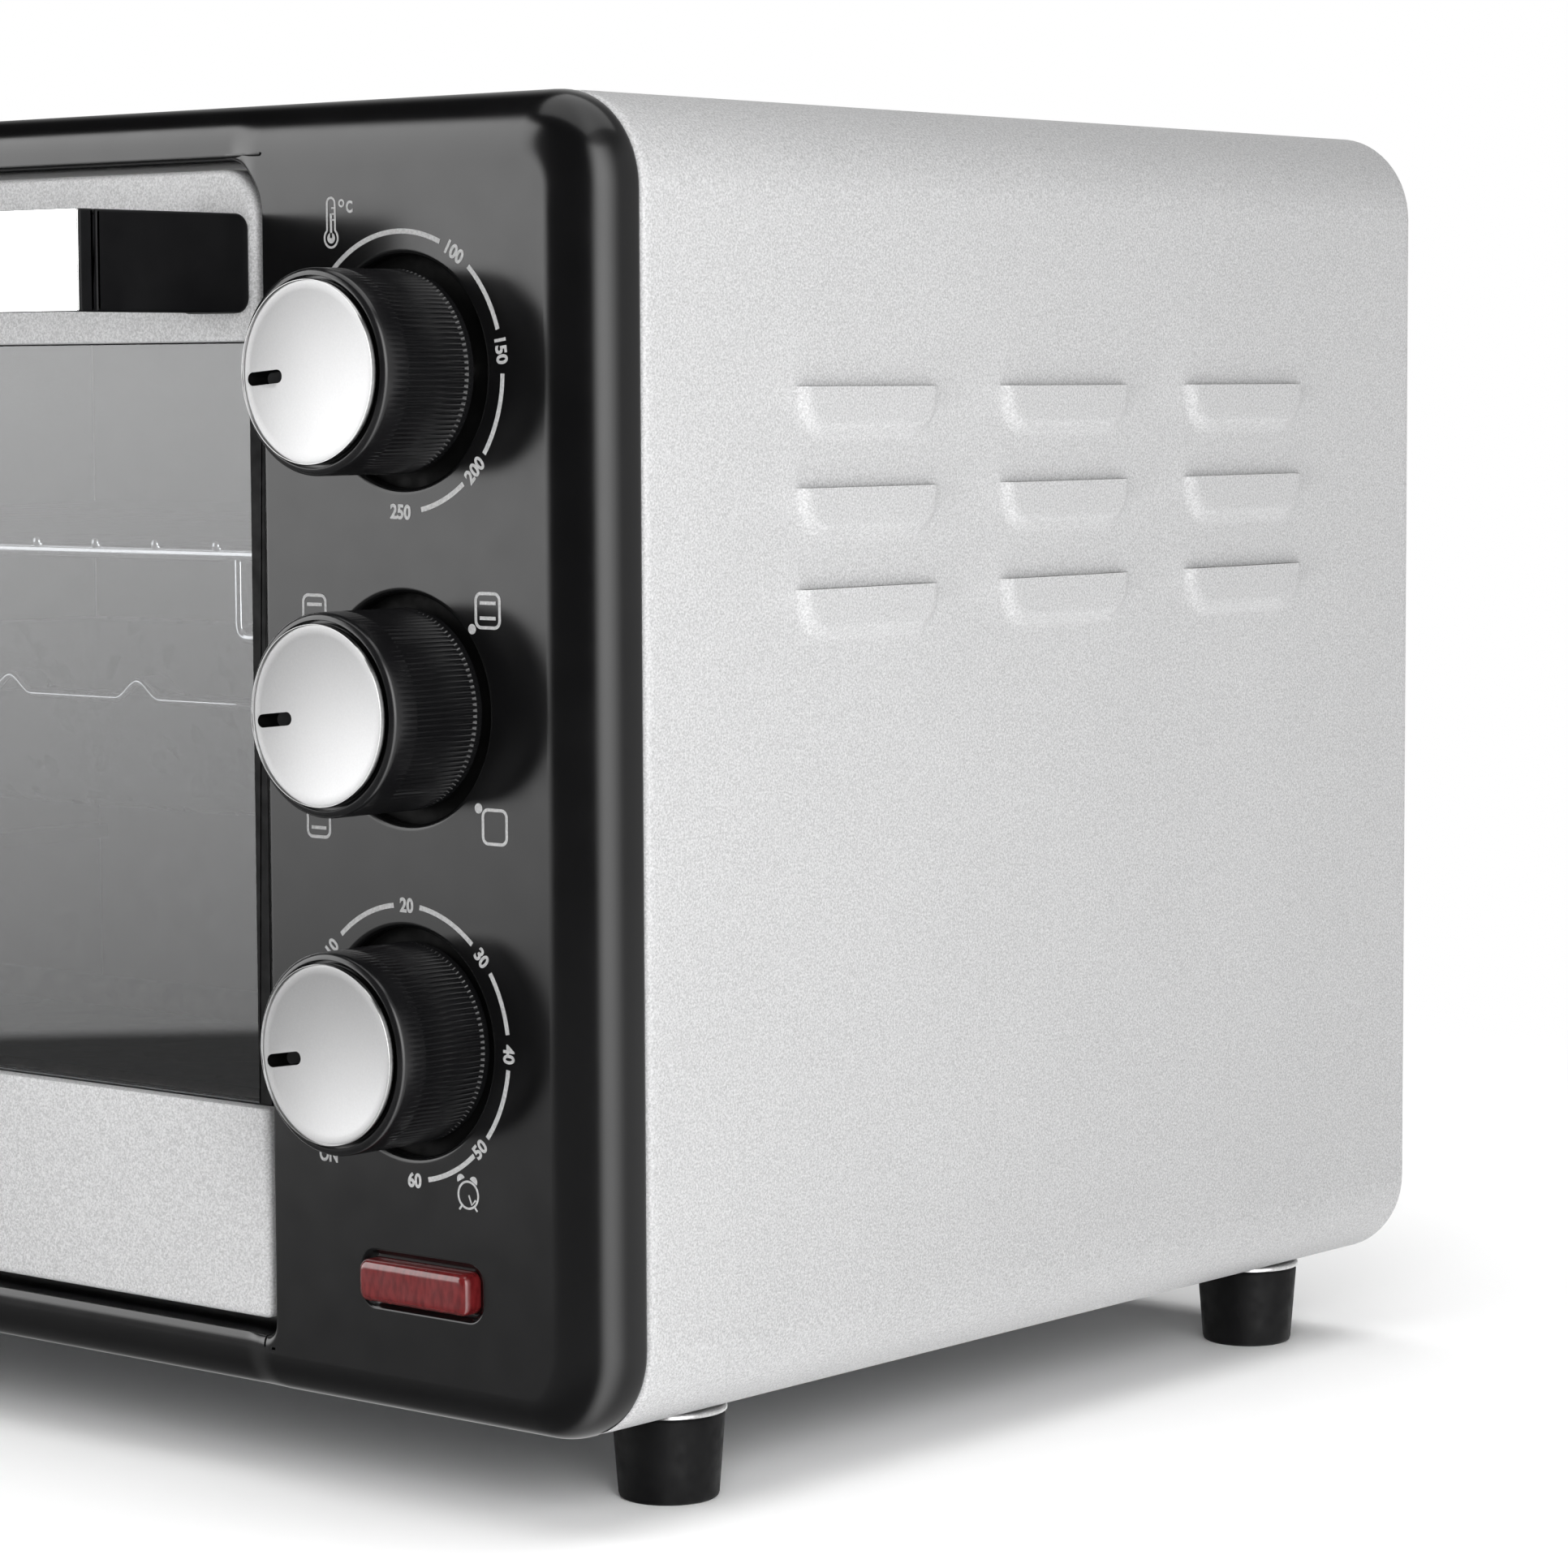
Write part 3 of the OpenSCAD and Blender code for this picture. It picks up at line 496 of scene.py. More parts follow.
def rubber():
    """Black rubber with dust only in its paler patches."""
    r = Recipe("black_rubber", tone(0.005, 0.0003), 0.55, Specular_IOR_Level=0.18)
    r.colour(r.ramp(r.noise(7, 4.0), tone(0.0035, 0.0003), tone(0.007, 0.0003), 0.4, 0.75))
    r.roughness(r.ramp(r.noise(3, 3.0), 0.46, 0.66))
    r.bump(r.noise(0.5, 3.0), 0.03, 0.5)
    return r.material


def tray_enamel():
    """Dark enamel with pale specks."""
    r = Recipe("tray_enamel", tone(0.05, 0.003), 0.28, Coat_Weight=0.3, Coat_Roughness=0.12)
    specks = r.cells(1.4, "Distance")
    r.colour(r.ramp(specks, tone(0.16, 0.005), tone(0.045, 0.003), 0.10, 0.22))
    r.roughness(r.ramp(r.noise(8, 3.0), 0.22, 0.38))
    r.bump(r.noise(6), 0.08, 0.2)
    return r.material


def tinted_glass():
    """Smoked glass; the Light Path branch lets lamps light what is behind it."""
    r = Recipe("tinted_glass", (0.50, 0.51, 0.52), 0.008, IOR=1.52, Transmission_Weight=1.0,
               Coat_Weight=1.0, Coat_Roughness=0.0, Coat_IOR=1.28)
    r.roughness(r.ramp(r.noise(40, 3.0), 0.004, 0.012, 0.4, 0.7))
    r.colour(r.ramp(r.noise(60), (0.49, 0.50, 0.51), (0.51, 0.52, 0.53)))
    path = r.node("LightPath")
    clear = r.node("BsdfTransparent")
    clear.inputs[0].default_value = (0.22, 0.225, 0.23, 1)
    r.surface(r.mixed(path.outputs["Is Shadow Ray"], r.shader.outputs[0], clear.outputs[0]))
    return r.material


SILVER = silver_paint()
BLACK = black_paint()
RUBBER = rubber()
ENAMEL = tray_enamel()
GLASS = tinted_glass()
PLASTIC = mottled("black_plastic", tone(0.004, 0.0005), tone(0.008, 0.0005), (0.34, 0.44),
                  (14, 3.0), (5, 3.0), ((0.35, 2.0), 0.018, 0.5), Specular_IOR_Level=0.2).material
KNOB = mottled("knob_black", tone(0.005, 0.0005), tone(0.008, 0.0005), (0.19, 0.26),
               (8, 3.0), (2.5, 3.0), ((0.3, 2.0), 0.006, 0.35), Specular_IOR_Level=0.65).material
# Painted shade: a darker, matt black laid in the wells round the knobs and on the walls of the
# pointer slots, where hardly any light returns, so they read as shaded.
PAINTED_SHADE_BLACK = mottled("recess_painted_shade", tone(0.0015), tone(0.003), (0.5, 0.7),
                 (5, 3.0), (2, 2.0), ((0.5, 2.0), 0.01, 0.3), Specular_IOR_Level=0.12).material
# Finely blasted aluminium with only the faintest unevenness.
CAP = mottled("satin_cap", tone(0.525, 0.003), tone(0.555, 0.003), (0.395, 0.405),
              (0.35, 2.0), (9, 2.0), ((0.3, 2.0), 0.0008, 0.3), 0.85).material
ELEMENT = mottled("element_steel", (0.10, 0.09, 0.085), (0.26, 0.235, 0.21), (0.42, 0.62),
                  (9, 4.0), (2, 3.0), ((0.6, 3.0), 0.02, 0.5), 0.85).material
LENS = mottled("red_lens", (0.085, 0.006, 0.007), (0.16, 0.016, 0.017), (0.12, 0.22),
               (1.1, 2.0, (1, 1, 0.35)), (3, 2.0), ((0.9, 1.0, (0.5, 1, 1)), 0.03, 0.3),
               Coat_Weight=0.6, Coat_Roughness=0.05).material
INK = mottled("print_ink", tone(0.36), tone(0.55), (0.42, 0.6),
              (0.5, 3.0), (1.5, 2.0), ((0.25, 2.0), 0.01, 0.4)).material
GALVANISED = sheet_steel("galvanised_steel", (0.56, 0.57, 0.58), 0.42, 9)
# Partly painted shade: the liner steel is made far darker than bare coated steel. This is partly a
# guess at a dark coating and partly the dim closed cavity's shade painted in.
LINER_WITH_PAINTED_SHADE = sheet_steel("liner_steel", (0.11, 0.11, 0.113), 0.50, 6, 0.3)
ZINC = metal("zinc_screw", (0.62, 0.62, 0.60), 0.32, 0.8)
SPRING = metal("spring_steel", (0.42, 0.42, 0.43), 0.30, 0.5)
CONTROL = metal("control_metal", (0.60, 0.60, 0.58), 0.38, 1.0)
WASHER = metal("bright_washer", tone(0.86), 0.18, 0.5, 0.006, (1, 1, 0.2), 0.04)
MIRROR = metal("polished_steel", tone(0.94, 0.005), 0.09, 1.2, 0.002, (0.03, 1, 1), 0.03)
CHROME = metal("chrome_wire", tone(0.96, 0.005), 0.12, 0.8, 0.003, spread=0.04)
RIM = metal("polished_rim", tone(0.45), 0.16, 0.6, 0.002, spread=0.03)
# Painted reflection: a grey floor for the pointer pockets that stands in for the studio light
# reflected in them.
POCKET_PAINTED_REFLECTION = plain("pocket_painted_reflection", tone(0.07, 0.002), 0.35, 1.5)
CERAMIC = plain("ceramic", (0.78, 0.75, 0.69), 0.55)
SLEEVE = plain("wire_sleeve", (0.66, 0.62, 0.54), 0.6, 2.0)

# ---- Case ----

HALF = span("front_frame")[1].x
TOP = span("front_frame")[1].z
REAR = span("base_plate")[1].y + 2.4
CORNER = 18.5
SHEET = 0.8
FRAME_DEPTH = 13.0
SEAM = 0.3
LOUVER = {"y": 55.4, "z": 195.6, "l": 43.7, "h": 10.0, "pitch_y": 63.1, "pitch_z": 19.17}
LOUVER_OUT = span("outer_case")[1].x - HALF
LOUVER_CORNER = 8.3
LOUVER_SLOPE = 2.9


def louver_rise(y, z):
    """How far the side of the case stands out at a point of its louvers."""
    for row_index in range(3):
        v = LOUVER["z"] - LOUVER["pitch_z"] * row_index - z
        for col in range(3):
            u = y - LOUVER["y"] - LOUVER["pitch_y"] * col
            if 0 <= u <= LOUVER["l"] and -1e-6 <= v <= LOUVER["h"]:
                qx = abs(u - LOUVER["l"] / 2) - (LOUVER["l"] / 2 - LOUVER_CORNER)
                qz = v - (LOUVER["h"] - LOUVER_CORNER)
                outside = math.hypot(max(qx, 0), max(qz, 0)) + min(max(qx, qz), 0)
                return LOUVER_OUT * smooth((LOUVER_CORNER - outside) / LOUVER_SLOPE)
    return 0.0


def spread(start, end, step):
    """Even values from start to end, both included, about step apart."""
    count = max(1, round((end - start) / step))
    return [start + (end - start) * i / count for i in range(count + 1)]


def case_profile():
    """Points round the case from its right return edge to its left one, as (x, z, outward
    direction, pressed). A louver's slit has two points in one place, and the upper one isn't
    pressed out."""

    def corner(z, start):
        pairs = quarter(HALF - CORNER, z, CORNER, start, 14)
        return [(*point, *outward, False) for point, outward in pairs]

    right = [(x, 0, 0, -1, False) for x in (180, 192)] + corner(CORNER, -90)
    for k in (2, 1, 0):
        top = LOUVER["z"] - LOUVER["pitch_z"] * k
        right += [(HALF, z, 1, 0, True) for z in spread(top - LOUVER["h"] - 0.4, top, 0.65)]
        right.append((HALF, top, 1, 0, False))
    right += [(HALF, 210, 1, 0, False), *corner(TOP - CORNER, 0)]
    right += [(x, TOP, 0, 1, False) for x in (120, 40)]
    return right + [(-x, z, -nx, nz, pressed) for x, z, nx, nz, pressed in right[::-1]]


def make_case():
    shape = Shape()
    front = FRAME_DEPTH + SEAM
    stations = [(1.5, front), (0.85, front + 0.15), (0.35, front + 0.55), (0.08, front + 1.3),
                (0, front + 2.3), (0, 40)]
    for col in range(3):
        y = LOUVER["y"] + LOUVER["pitch_y"] * col
        stations += [(0, v) for v in spread(y, y + LOUVER["l"], 0.9)]
    stations += [(0, 240), (0, REAR - 2), (0, REAR - 0.9), (0.2, REAR - 0.35), (0.7, REAR)]
    profile = case_profile()
    loops = []
    for d, y in stations:
        points = []
        for x, z, nx, nz, pressed in profile:
            rise = louver_rise(y, z) if pressed else 0.0
            points.append((x + nx * (rise - d), y, z + nz * (rise - d)))
        loops.append(shape.loop(points))
    for a, b in zip(loops, loops[1:]):
        for i in range(len(profile) - 1):
            j = i + 1
            if profile[i][:2] != profile[j][:2]:
                shape.face((a[i], a[j], b[j], b[i]))
    piece("case_skin", shape, "oven", [SILVER], ["outer_case"],
          towards=(0, 0, 1), sheet=0.75, angle=40)


make_case()

# ---- Front frame ----

well_lo = Vector((span("door_bottom_rail")[0].x - 3, 0, span("door_bottom_rail")[0].z - 3))
well_hi = Vector((span("door_bottom_rail")[1].x + 3, 0, span("door_top_rail")[1].z + 1.7))
cavity_lo = span("cavity_floor")[0] + Vector((SHEET, 0, SHEET))
cavity_hi = span("cavity_top")[1] - Vector((SHEET, SHEET, SHEET))
WELL_DEPTH = 14.0
FRONT_R = 12.5
FRONT_R_DEPTH = 11.0
FIELD_X = (well_hi.x - 10.0, well_hi.x - 1.0)
FIELD_STEP = 1.5
knob_nodes = {
    "temperature": ("temperature_knob", "temperature_knob_cap", "temperature_control"),
    "mode": ("mode_knob", "mode_knob_cap", "mode_control"),
    "timer": ("timer_knob", "timer_knob_cap", "timer_control"),
}
knob_centre = {}
for key, (knob_node, _, _) in knob_nodes.items():
    lo, hi = span(knob_node)
    knob_centre[key] = ((lo.x + hi.x) / 2, (lo.z + hi.z) / 2)
KNOB_R = (span("mode_knob")[1].x - span("mode_knob")[0].x) / 2
RECESS_R = 21.7
RECESS_DEPTH = 3.0
lens_lo, lens_hi = span("lamp_lens")
LENS_X = (lens_lo.x + 2.0, lens_hi.x - 2.0)
LENS_Z = (lens_lo.z + 1.9, lens_hi.z - 1.9)


def set_back(shape):
    """Presses the door's side of the frame back from the control panel's raised field."""
    for p in shape.points:
        share = 1 - smooth((p.x - FIELD_X[0]) / (FIELD_X[1] - FIELD_X[0]))
        p.y += FIELD_STEP * share * max(0.0, 1 - p.y / FRONT_R_DEPTH)


def make_frame():
    shape = Shape()
    steps_across = spread(FIELD_X[0] - 1, FIELD_X[1] + 1, 0.5)
    outer = []
    for p, n in eased(rounded(-HALF, HALF, 0, TOP, CORNER, 22, steps_across), 0.55, 0.7):
        narrow = 0.7 + 0.3 * smooth((p[0] - FIELD_X[0]) / (FIELD_X[1] - FIELD_X[0]))
        outer.append((p, (n[0], n[1] * (narrow if n[1] > 0 else 1.0))))
    edge = [(d, y * FRONT_R_DEPTH / FRONT_R) for d, y in rolled(0, 0, FRONT_R, 1, 18)]
    rim = 0.25
    section = [(1.9, FRAME_DEPTH), *rolled(0, FRAME_DEPTH, 1.4, -1, 6)[::-1], *edge]
    shape.sweep(rings(shape, outer, [*section, (FRONT_R + rim, 0)]))
    well = rounded(well_lo.x, well_hi.x, well_lo.z, well_hi.z, (3, 3, 11, 11), 14, steps_across)
    well = eased(well, low=2.0)
    lip = 0.95
    inner = [(-d, depth) for d, depth in rolled(0, 0, lip, 1, 6)]
    walls = rings(shape, well, [(-lip - rim, 0), *inner[::-1], (0, WELL_DEPTH)])
    shape.sweep(walls)
    mouth = rounded(cavity_lo.x + 2, cavity_hi.x - 2, cavity_lo.z + 2, cavity_hi.z - 2, 5, 8)
    shape.flat(inset(well, 0), [inset(mouth, 0)], facing_front(WELL_DEPTH))
    shape.sweep(rings(shape, mouth, [(0, WELL_DEPTH), (0, WELL_DEPTH + 1.2)]))
    cuts = [inset(well, -lip - rim)]
    for x, z in knob_centre.values():
        ring = circle(x, z, 0, 96)
        basin = [(-RECESS_R - 1.2, 0)]
        basin += [(-RECESS_R - d, y) for d, y in rolled(0, 0, 1.0, 1, 6)[::-1]]
        lip_loops = shape.sweep(rings(shape, ring, basin))
        bed = [(-RECESS_R, RECESS_DEPTH), (-4.5, RECESS_DEPTH), (-4.5, RECESS_DEPTH + 1.5)]
        # Each well's bed takes the painted-shade black.
        shape.sweep([lip_loops[-1], *rings(shape, ring, bed)], 1)
        cuts.append(inset(ring, -RECESS_R - 1.2))
    lamp = rounded(*LENS_X, *LENS_Z, 2, 8)
    dish = [(-1.8 + 1.3 * t, smooth(t)) for t in spread(0, 1, 1 / 6)]
    dish = [(-1.9, 0), *dish, (-0.1, 1.1), (-0.1, 3)]
    shape.sweep(rings(shape, lamp, dish))
    cuts.append(inset(lamp, -1.9))
    shape.flat(inset(outer, FRONT_R + rim), cuts, facing_front(0))
    set_back(shape)
    piece("front_frame_shell", shape, "oven", [BLACK, PAINTED_SHADE_BLACK],
          ["front_frame"], towards=(0, -1, 0), sheet=0.7, angle=45)


make_frame()

# ---- Rear panel ----

rear_lo, rear_hi = span("rear_panel")
FIELD_RISE = rear_hi.y - REAR
FIELD_WALL = 5.5
VENT_Z = 90


def vents(x0, x1, size, pitch, count):
    """Points round each slot in a column of level vents."""
    lows = [VENT_Z + pitch * i for i in range(count)]
    return [inset(rounded(x0, x1, z, z + size, size / 2 - 0.1, 6), 0) for z in lows]


def make_rear_panel():
    """The flat rim with the control side's vents, and a raised field with the oven's."""
    shape = Shape()
    outer = rounded(rear_lo.x, rear_hi.x, rear_lo.z, rear_hi.z, CORNER - 1, 14)
    edge = [(0, -0.8), (0, -0.4), (0.15, -0.1), (0.5, 0), (0.8, 0)]
    shape.sweep(rings(shape, outer, [(d, REAR + y) for d, y in edge]))
    field = rounded(-180, 120, 40, 215, 14, 12)
    wall = [(FIELD_WALL * t, REAR + FIELD_RISE * smooth(t)) for t in spread(0, 1, 1 / 8)]
    wall = [(-0.3, REAR), *wall, (FIELD_WALL + 0.4, rear_hi.y)]
    shape.sweep(rings(shape, field, wall))
    gland = inset(circle(168, 40, 7.4, 32), 0)
    shape.flat(inset(outer, 0.8), [inset(field, -0.3), gland, *vents(142, 194, 4, 14, 8)],
               facing_front(REAR))
    shape.flat(inset(field, FIELD_WALL + 0.4),
               vents(-150, -40, 5, 24, 5) + vents(-20, 90, 5, 24, 5), facing_front(rear_hi.y))
    piece("rear_panel_sheet", shape, "oven", [GALVANISED],
          ["rear_panel"], towards=(0, 1, 0), sheet=0.8, angle=40)


make_rear_panel()

# ---- Door ----


def rail(name, node, radii, low, high):
    """A door rail with rolled edges; low and high narrow the rolling along the glass."""
    shape = Shape()
    lo, hi = span(node)
    outline = eased(rounded(lo.x, hi.x, lo.z, hi.z, radii, 12), low=low, high=high)
    slab(shape, outline, lo.y, hi.y, 1.5, 0.6)
    piece(name, shape, "door", [SILVER], [node], angle=40)


rail("door_top_rail_panel", "door_top_rail", (0.8, 0.8, 9.5, 9.5), 0.25, 1.0)
rail("door_bottom_rail_panel", "door_bottom_rail", (1.8, 1.8, 0.8, 0.8), 1.0, 0.25)


def make_glass():
    shape = Shape()
    lo, hi = span("door_glass")
    outline = rounded(lo.x, hi.x, lo.z, hi.z, 1.2, 4)
    slab(shape, outline, lo.y, hi.y, 0.35, 0.35)
    piece("door_glass_pane", shape, "door", [GLASS], ["door_glass"],
          angle=60)


make_glass()

EDGE_TRIM = 4.0


def make_seals():
    """A rubber bead along the glass where each rail takes hold of it, and a trim strip over
    each upright edge of the pane."""
    shape = Shape()
    lo, hi = span("door_glass")
    top = span("door_bottom_rail")[1].z
    low = span("door_top_rail")[0].z
    for z, sign in ((top, 1), (low, -1)):
        for y in (lo.y - 0.35, hi.y + 0.35):
            bead_z = z - 0.1 * sign
            tube(shape, [(lo.x + 0.5, y, bead_z), (hi.x - 0.5, y, bead_z)], 0.35, 10)
    for x0, x1 in ((lo.x - 0.3, lo.x + EDGE_TRIM), (hi.x - EDGE_TRIM, hi.x + 0.3)):
        trim = rounded(x0, x1, top - 1, low + 1, 0.3, 4)
        slab(shape, trim, lo.y - 0.4, hi.y + 0.4, 0.3, 0.3)
    piece("glass_seal_beads", shape, "door", [RUBBER], ["glass_seals"])


make_seals()

# ---- Handle ----

BRACKET_T = 4.0


def make_handle_bar():
    """A hollow bar between the brackets, faced with a skin that runs over their ends."""
    shape = Shape()
    lo, hi = span("handle_bar")
    x0 = lo.x + BRACKET_T
    x1 = hi.x - BRACKET_T
    outline = rounded(lo.y + 0.3, hi.y, lo.z + 0.25, hi.z - 0.25, 0.8, 8)
    section = [(0.5, x0), (0.1, x0 + 0.15), (0, x0 + 0.5), (0, x0 + 4), (0, x1 - 4),
               (0, x1 - 0.5), (0.1, x1 - 0.15), (0.5, x1)]
    shape.capped(rings(shape, outline, section, facing_side))
    skin = rounded(lo.x, hi.x, lo.z, hi.z, 0.5, 4)
    slab(shape, skin, lo.y, lo.y + 0.45, 0.2, 0.1)
    piece("handle_bar_tube", shape, "door", [MIRROR], ["handle_bar"],
          angle=50)


def make_bracket(side, node):
    """Side plate with a separate looking front band, and a foot screwed to the door."""
    shape = Shape()
    lo, hi = span(node)
    x0, x1 = (lo.x, lo.x + BRACKET_T) if side < 0 else (hi.x - BRACKET_T, hi.x)
    band = 3.1
    groove = 0.45
    front = rounded(lo.y - 0.5, lo.y + band, lo.z, hi.z, (0.8, 0.3, 0.3, 0.8), 8)
    slab(shape, front, x0, x1, 0.5, 0.5, facing_side)
    body = rounded(lo.y + band + groove, hi.y, lo.z, hi.z, (0.4, 3, 3, 0.4), 8)
    slab(shape, body, x0, x1, 0.6, 0.6, facing_side)
    core = rounded(lo.y + band - 0.6, lo.y + band + groove + 0.8, lo.z + 0.5, hi.z - 0.5, 0.2, 2)
    slab(shape, core, x0 + 0.5, x1 - 0.5, 0.2, 0.2, facing_side)
    f0, f1 = (x0 + 2, x0 + 16) if side < 0 else (x1 - 16, x1 - 2)
    foot = rounded(f0, f1, lo.z, hi.z, 2.2, 6)
    slab(shape, foot, hi.y - 4, hi.y, 1.0, 0.2)
    name = "handle_bracket_left_cover" if side < 0 else "handle_bracket_right_cover"
    piece(name, shape, "door", [PLASTIC], [node], angle=40)


make_handle_bar()
make_bracket(-1, "handle_bracket_left")
make_bracket(1, "handle_bracket_right")

# ---- Knobs ----

RIBS = 108
RIB_STEPS = 6
RIB_DEPTH = 0.5
POINTER_TURN = {"temperature": 5, "mode": 6, "timer": 9}
POCKET_DEPTH = 4.0
DISH = 1.0


def knob_ring(shape, cx, cz, radius, y, depth=0.0):
    """A loop round a knob; depth is how deep the grooves between its ribs are there."""
    points = []
    for i in range(RIBS * RIB_STEPS):
        a = 2 * math.pi * i / (RIBS * RIB_STEPS)
        crest = (0.5 + 0.5 * math.cos(2 * math.pi * (i % RIB_STEPS) / RIB_STEPS)) ** 2
        r = radius - depth * (1 - crest)
        points.append((cx + r * math.cos(a), y, cz + r * math.sin(a)))
    return shape.loop(points)


def pointer_slot(key, cx, cz, cap_r):
    """Outline of the slot in a cap, turned to where the pointer rests below level."""
    outline = []
    for p, n in rounded(-cap_r + 1.3, -cap_r + 9.5, -1.25, 1.25, 1.2, 8):
        x, z = turned(p, POINTER_TURN[key])
        outline.append(((cx + x, cz + z), turned(n, POINTER_TURN[key])))
    return outline


def make_knob(key, knob_node, cap_node, body):
    cx, cz = knob_centre[key]
    front, back = (corner.y for corner in span(knob_node))
    r = KNOB_R
    cap_lo, cap_hi = span(cap_node)
    cap_r = (cap_hi.x - cap_lo.x) / 2
    seat = cap_hi.y
    shape = Shape()
    section = [(4.0, back, 0), (r - 2.4, back, 0), (r - 0.3, back, 0), (r, back - 0.3, 0),
               (r, back - 1.6, 0), (r - 0.02, back - 2.1, 1), (r - 0.02, front + 6.5, 1),
               (r, front + 5.9, 0)]
    section += [(r - d, y, 0) for d, y in rolled(0, front, 1.25, 1, 6)]
    section += [(cap_r + 0.62, front, 0), (cap_r + 0.52, front + 0.12, 0),
                (cap_r + 0.48, front + 1.5, 0), (cap_r - 0.4, front + 1.5, 0),
                (cap_r - 0.45, seat, 0)]
    loops = [knob_ring(shape, cx, cz, radius, y, RIB_DEPTH * deep) for radius, y, deep in section]
    shape.sweep(loops)
    shape.face(loops[0])
    slot = pointer_slot(key, cx, cz, cap_r)
    seat_edge = inset(circle(cx, cz, cap_r - 0.45, RIBS * RIB_STEPS), 0)
    shape.flat(seat_edge, [inset(slot, 0)], facing_front(seat))
    # The pocket's walls take the painted-shade black.
    pocket = shape.sweep(rings(shape, slot, [(0, seat), (0.1, front + POCKET_DEPTH)]), 2)
    # The pocket's floor takes the grey painted reflection.
    shape.face(pocket[-1], 1)
    piece(key + "_knob_body", shape, body, [KNOB, POCKET_PAINTED_REFLECTION, PAINTED_SHADE_BLACK],
          [knob_node], angle=38)
    make_cap(key, slot, cap_node, body)


def make_cap(key, slot, node, body):
    """The satin cap, dished a little inside its bright rim, with the pointer's slot."""
    shape = Shape()
    cx, cz = knob_centre[key]
    lo, hi = span(node)
    cap_r = (hi.x - lo.x) / 2
    front = lo.y
    back = hi.y
    ring = circle(cx, cz, cap_r, 96)
    rim = [(0.6, back), (0.1, back), (0, back - 0.2), (0, front + 0.4), (0.08, front + 0.15),
           (0.16, front + 0.02), (0.24, front + 0.02), (0.3, front + 0.2), (0.34, front + 0.45)]
    loops = shape.sweep(rings(shape, ring, rim), 1)
    shape.sweep([loops[-1], *rings(shape, ring, [(0.75, front + 0.42)])], 0)
    inner_r = cap_r - 0.75
    seeds = []
    for k in range(1, 12):
        seeds += [p for p, _ in circle(cx, cz, inner_r * k / 12, 8 * k)]

    def dished(a, b):
        off = math.hypot(a - cx, b - cz) / inner_r
        return Vector((a, front + 0.42 + DISH * (1 - min(off, 1.0) ** 2), b))

    shape.flat(inset(ring, 0.75), [inset(slot, 0)], dished, 0, seeds)
    wall = [shape.loop([dished(*p) for p in inset(slot, 0)]),
            shape.loop([(a, back, b) for a, b in inset(slot, 0)])]
    # The slot's wall in the cap takes the painted-shade black.
    shape.sweep(wall, 2)
    shape.flat(inset(ring, 0.6), [inset(slot, 0)], facing_front(back), 1)
    piece(key + "_knob_cap_disc", shape, body, [CAP, RIM, PAINTED_SHADE_BLACK], [node],
          angle=40)


for key, nodes in knob_nodes.items():
    make_knob(key, *nodes)

# ---- Lamp lens and feet ----


def make_lens():
    shape = Shape()
    outline = rounded(*LENS_X, *LENS_Z, 2, 8)
    section = [(0, lens_hi.y), *rolled(0, lens_lo.y, 1.5, 1, 8), (1.8, lens_lo.y)]
    shape.capped(rings(shape, outline, section))
    piece("lamp_lens_cover", shape, "oven", [LENS], ["lamp_lens"], angle=50)


make_lens()

FOOT_R = 11.0
WASHER_R = 11.4


def make_feet():
    """Tapered rubber feet, each with a turned edge, a screw well and its bright washer."""
    feet = Shape()
    washers = Shape()
    lo, hi = span("feet")
    low, high = (corner.z for corner in span("foot_washers"))
    foot = [(4.0, hi.z), (10.4, hi.z), (10.85, hi.z - 0.25), (FOOT_R, hi.z - 0.8),
            (9.82, lo.z + 1.0), (9.6, lo.z + 0.35), (9.1, lo.z), (6.1, lo.z), (5.5, lo.z + 0.5),
            (5.5, lo.z + 7.6), (2.4, lo.z + 7.6)]
    washer = [(3, low), (WASHER_R - 0.3, low), (WASHER_R - 0.06, low + 0.12),
              (WASHER_R, low + 0.5), (WASHER_R - 0.06, high - 0.12), (WASHER_R - 0.3, high),
              (3, high)]
    for x in (lo.x + FOOT_R, hi.x - FOOT_R):
        for y in (lo.y + FOOT_R, hi.y - FOOT_R):
            ring = circle(x, y, 0, 48)
            feet.capped(rings(feet, ring, [(-r, z) for r, z in foot], facing_up))
            washers.capped(rings(washers, ring, [(-r, z) for r, z in washer], facing_up))
    piece("rubber_feet", feet, "oven", [RUBBER], ["feet"], angle=50)
    piece("foot_washer_rings", washers, "oven", [WASHER], ["foot_washers"],
          angle=60)


make_feet()

# ---- Rack and trays ----

rack_lo, rack_hi = span("wire_rack")
RACK_R = 1.6
CROSS_R = 1.3
RACK_Z = rack_hi.z - CROSS_R - 0.6 * (RACK_R + CROSS_R)
CROSS_PITCH = 17.9


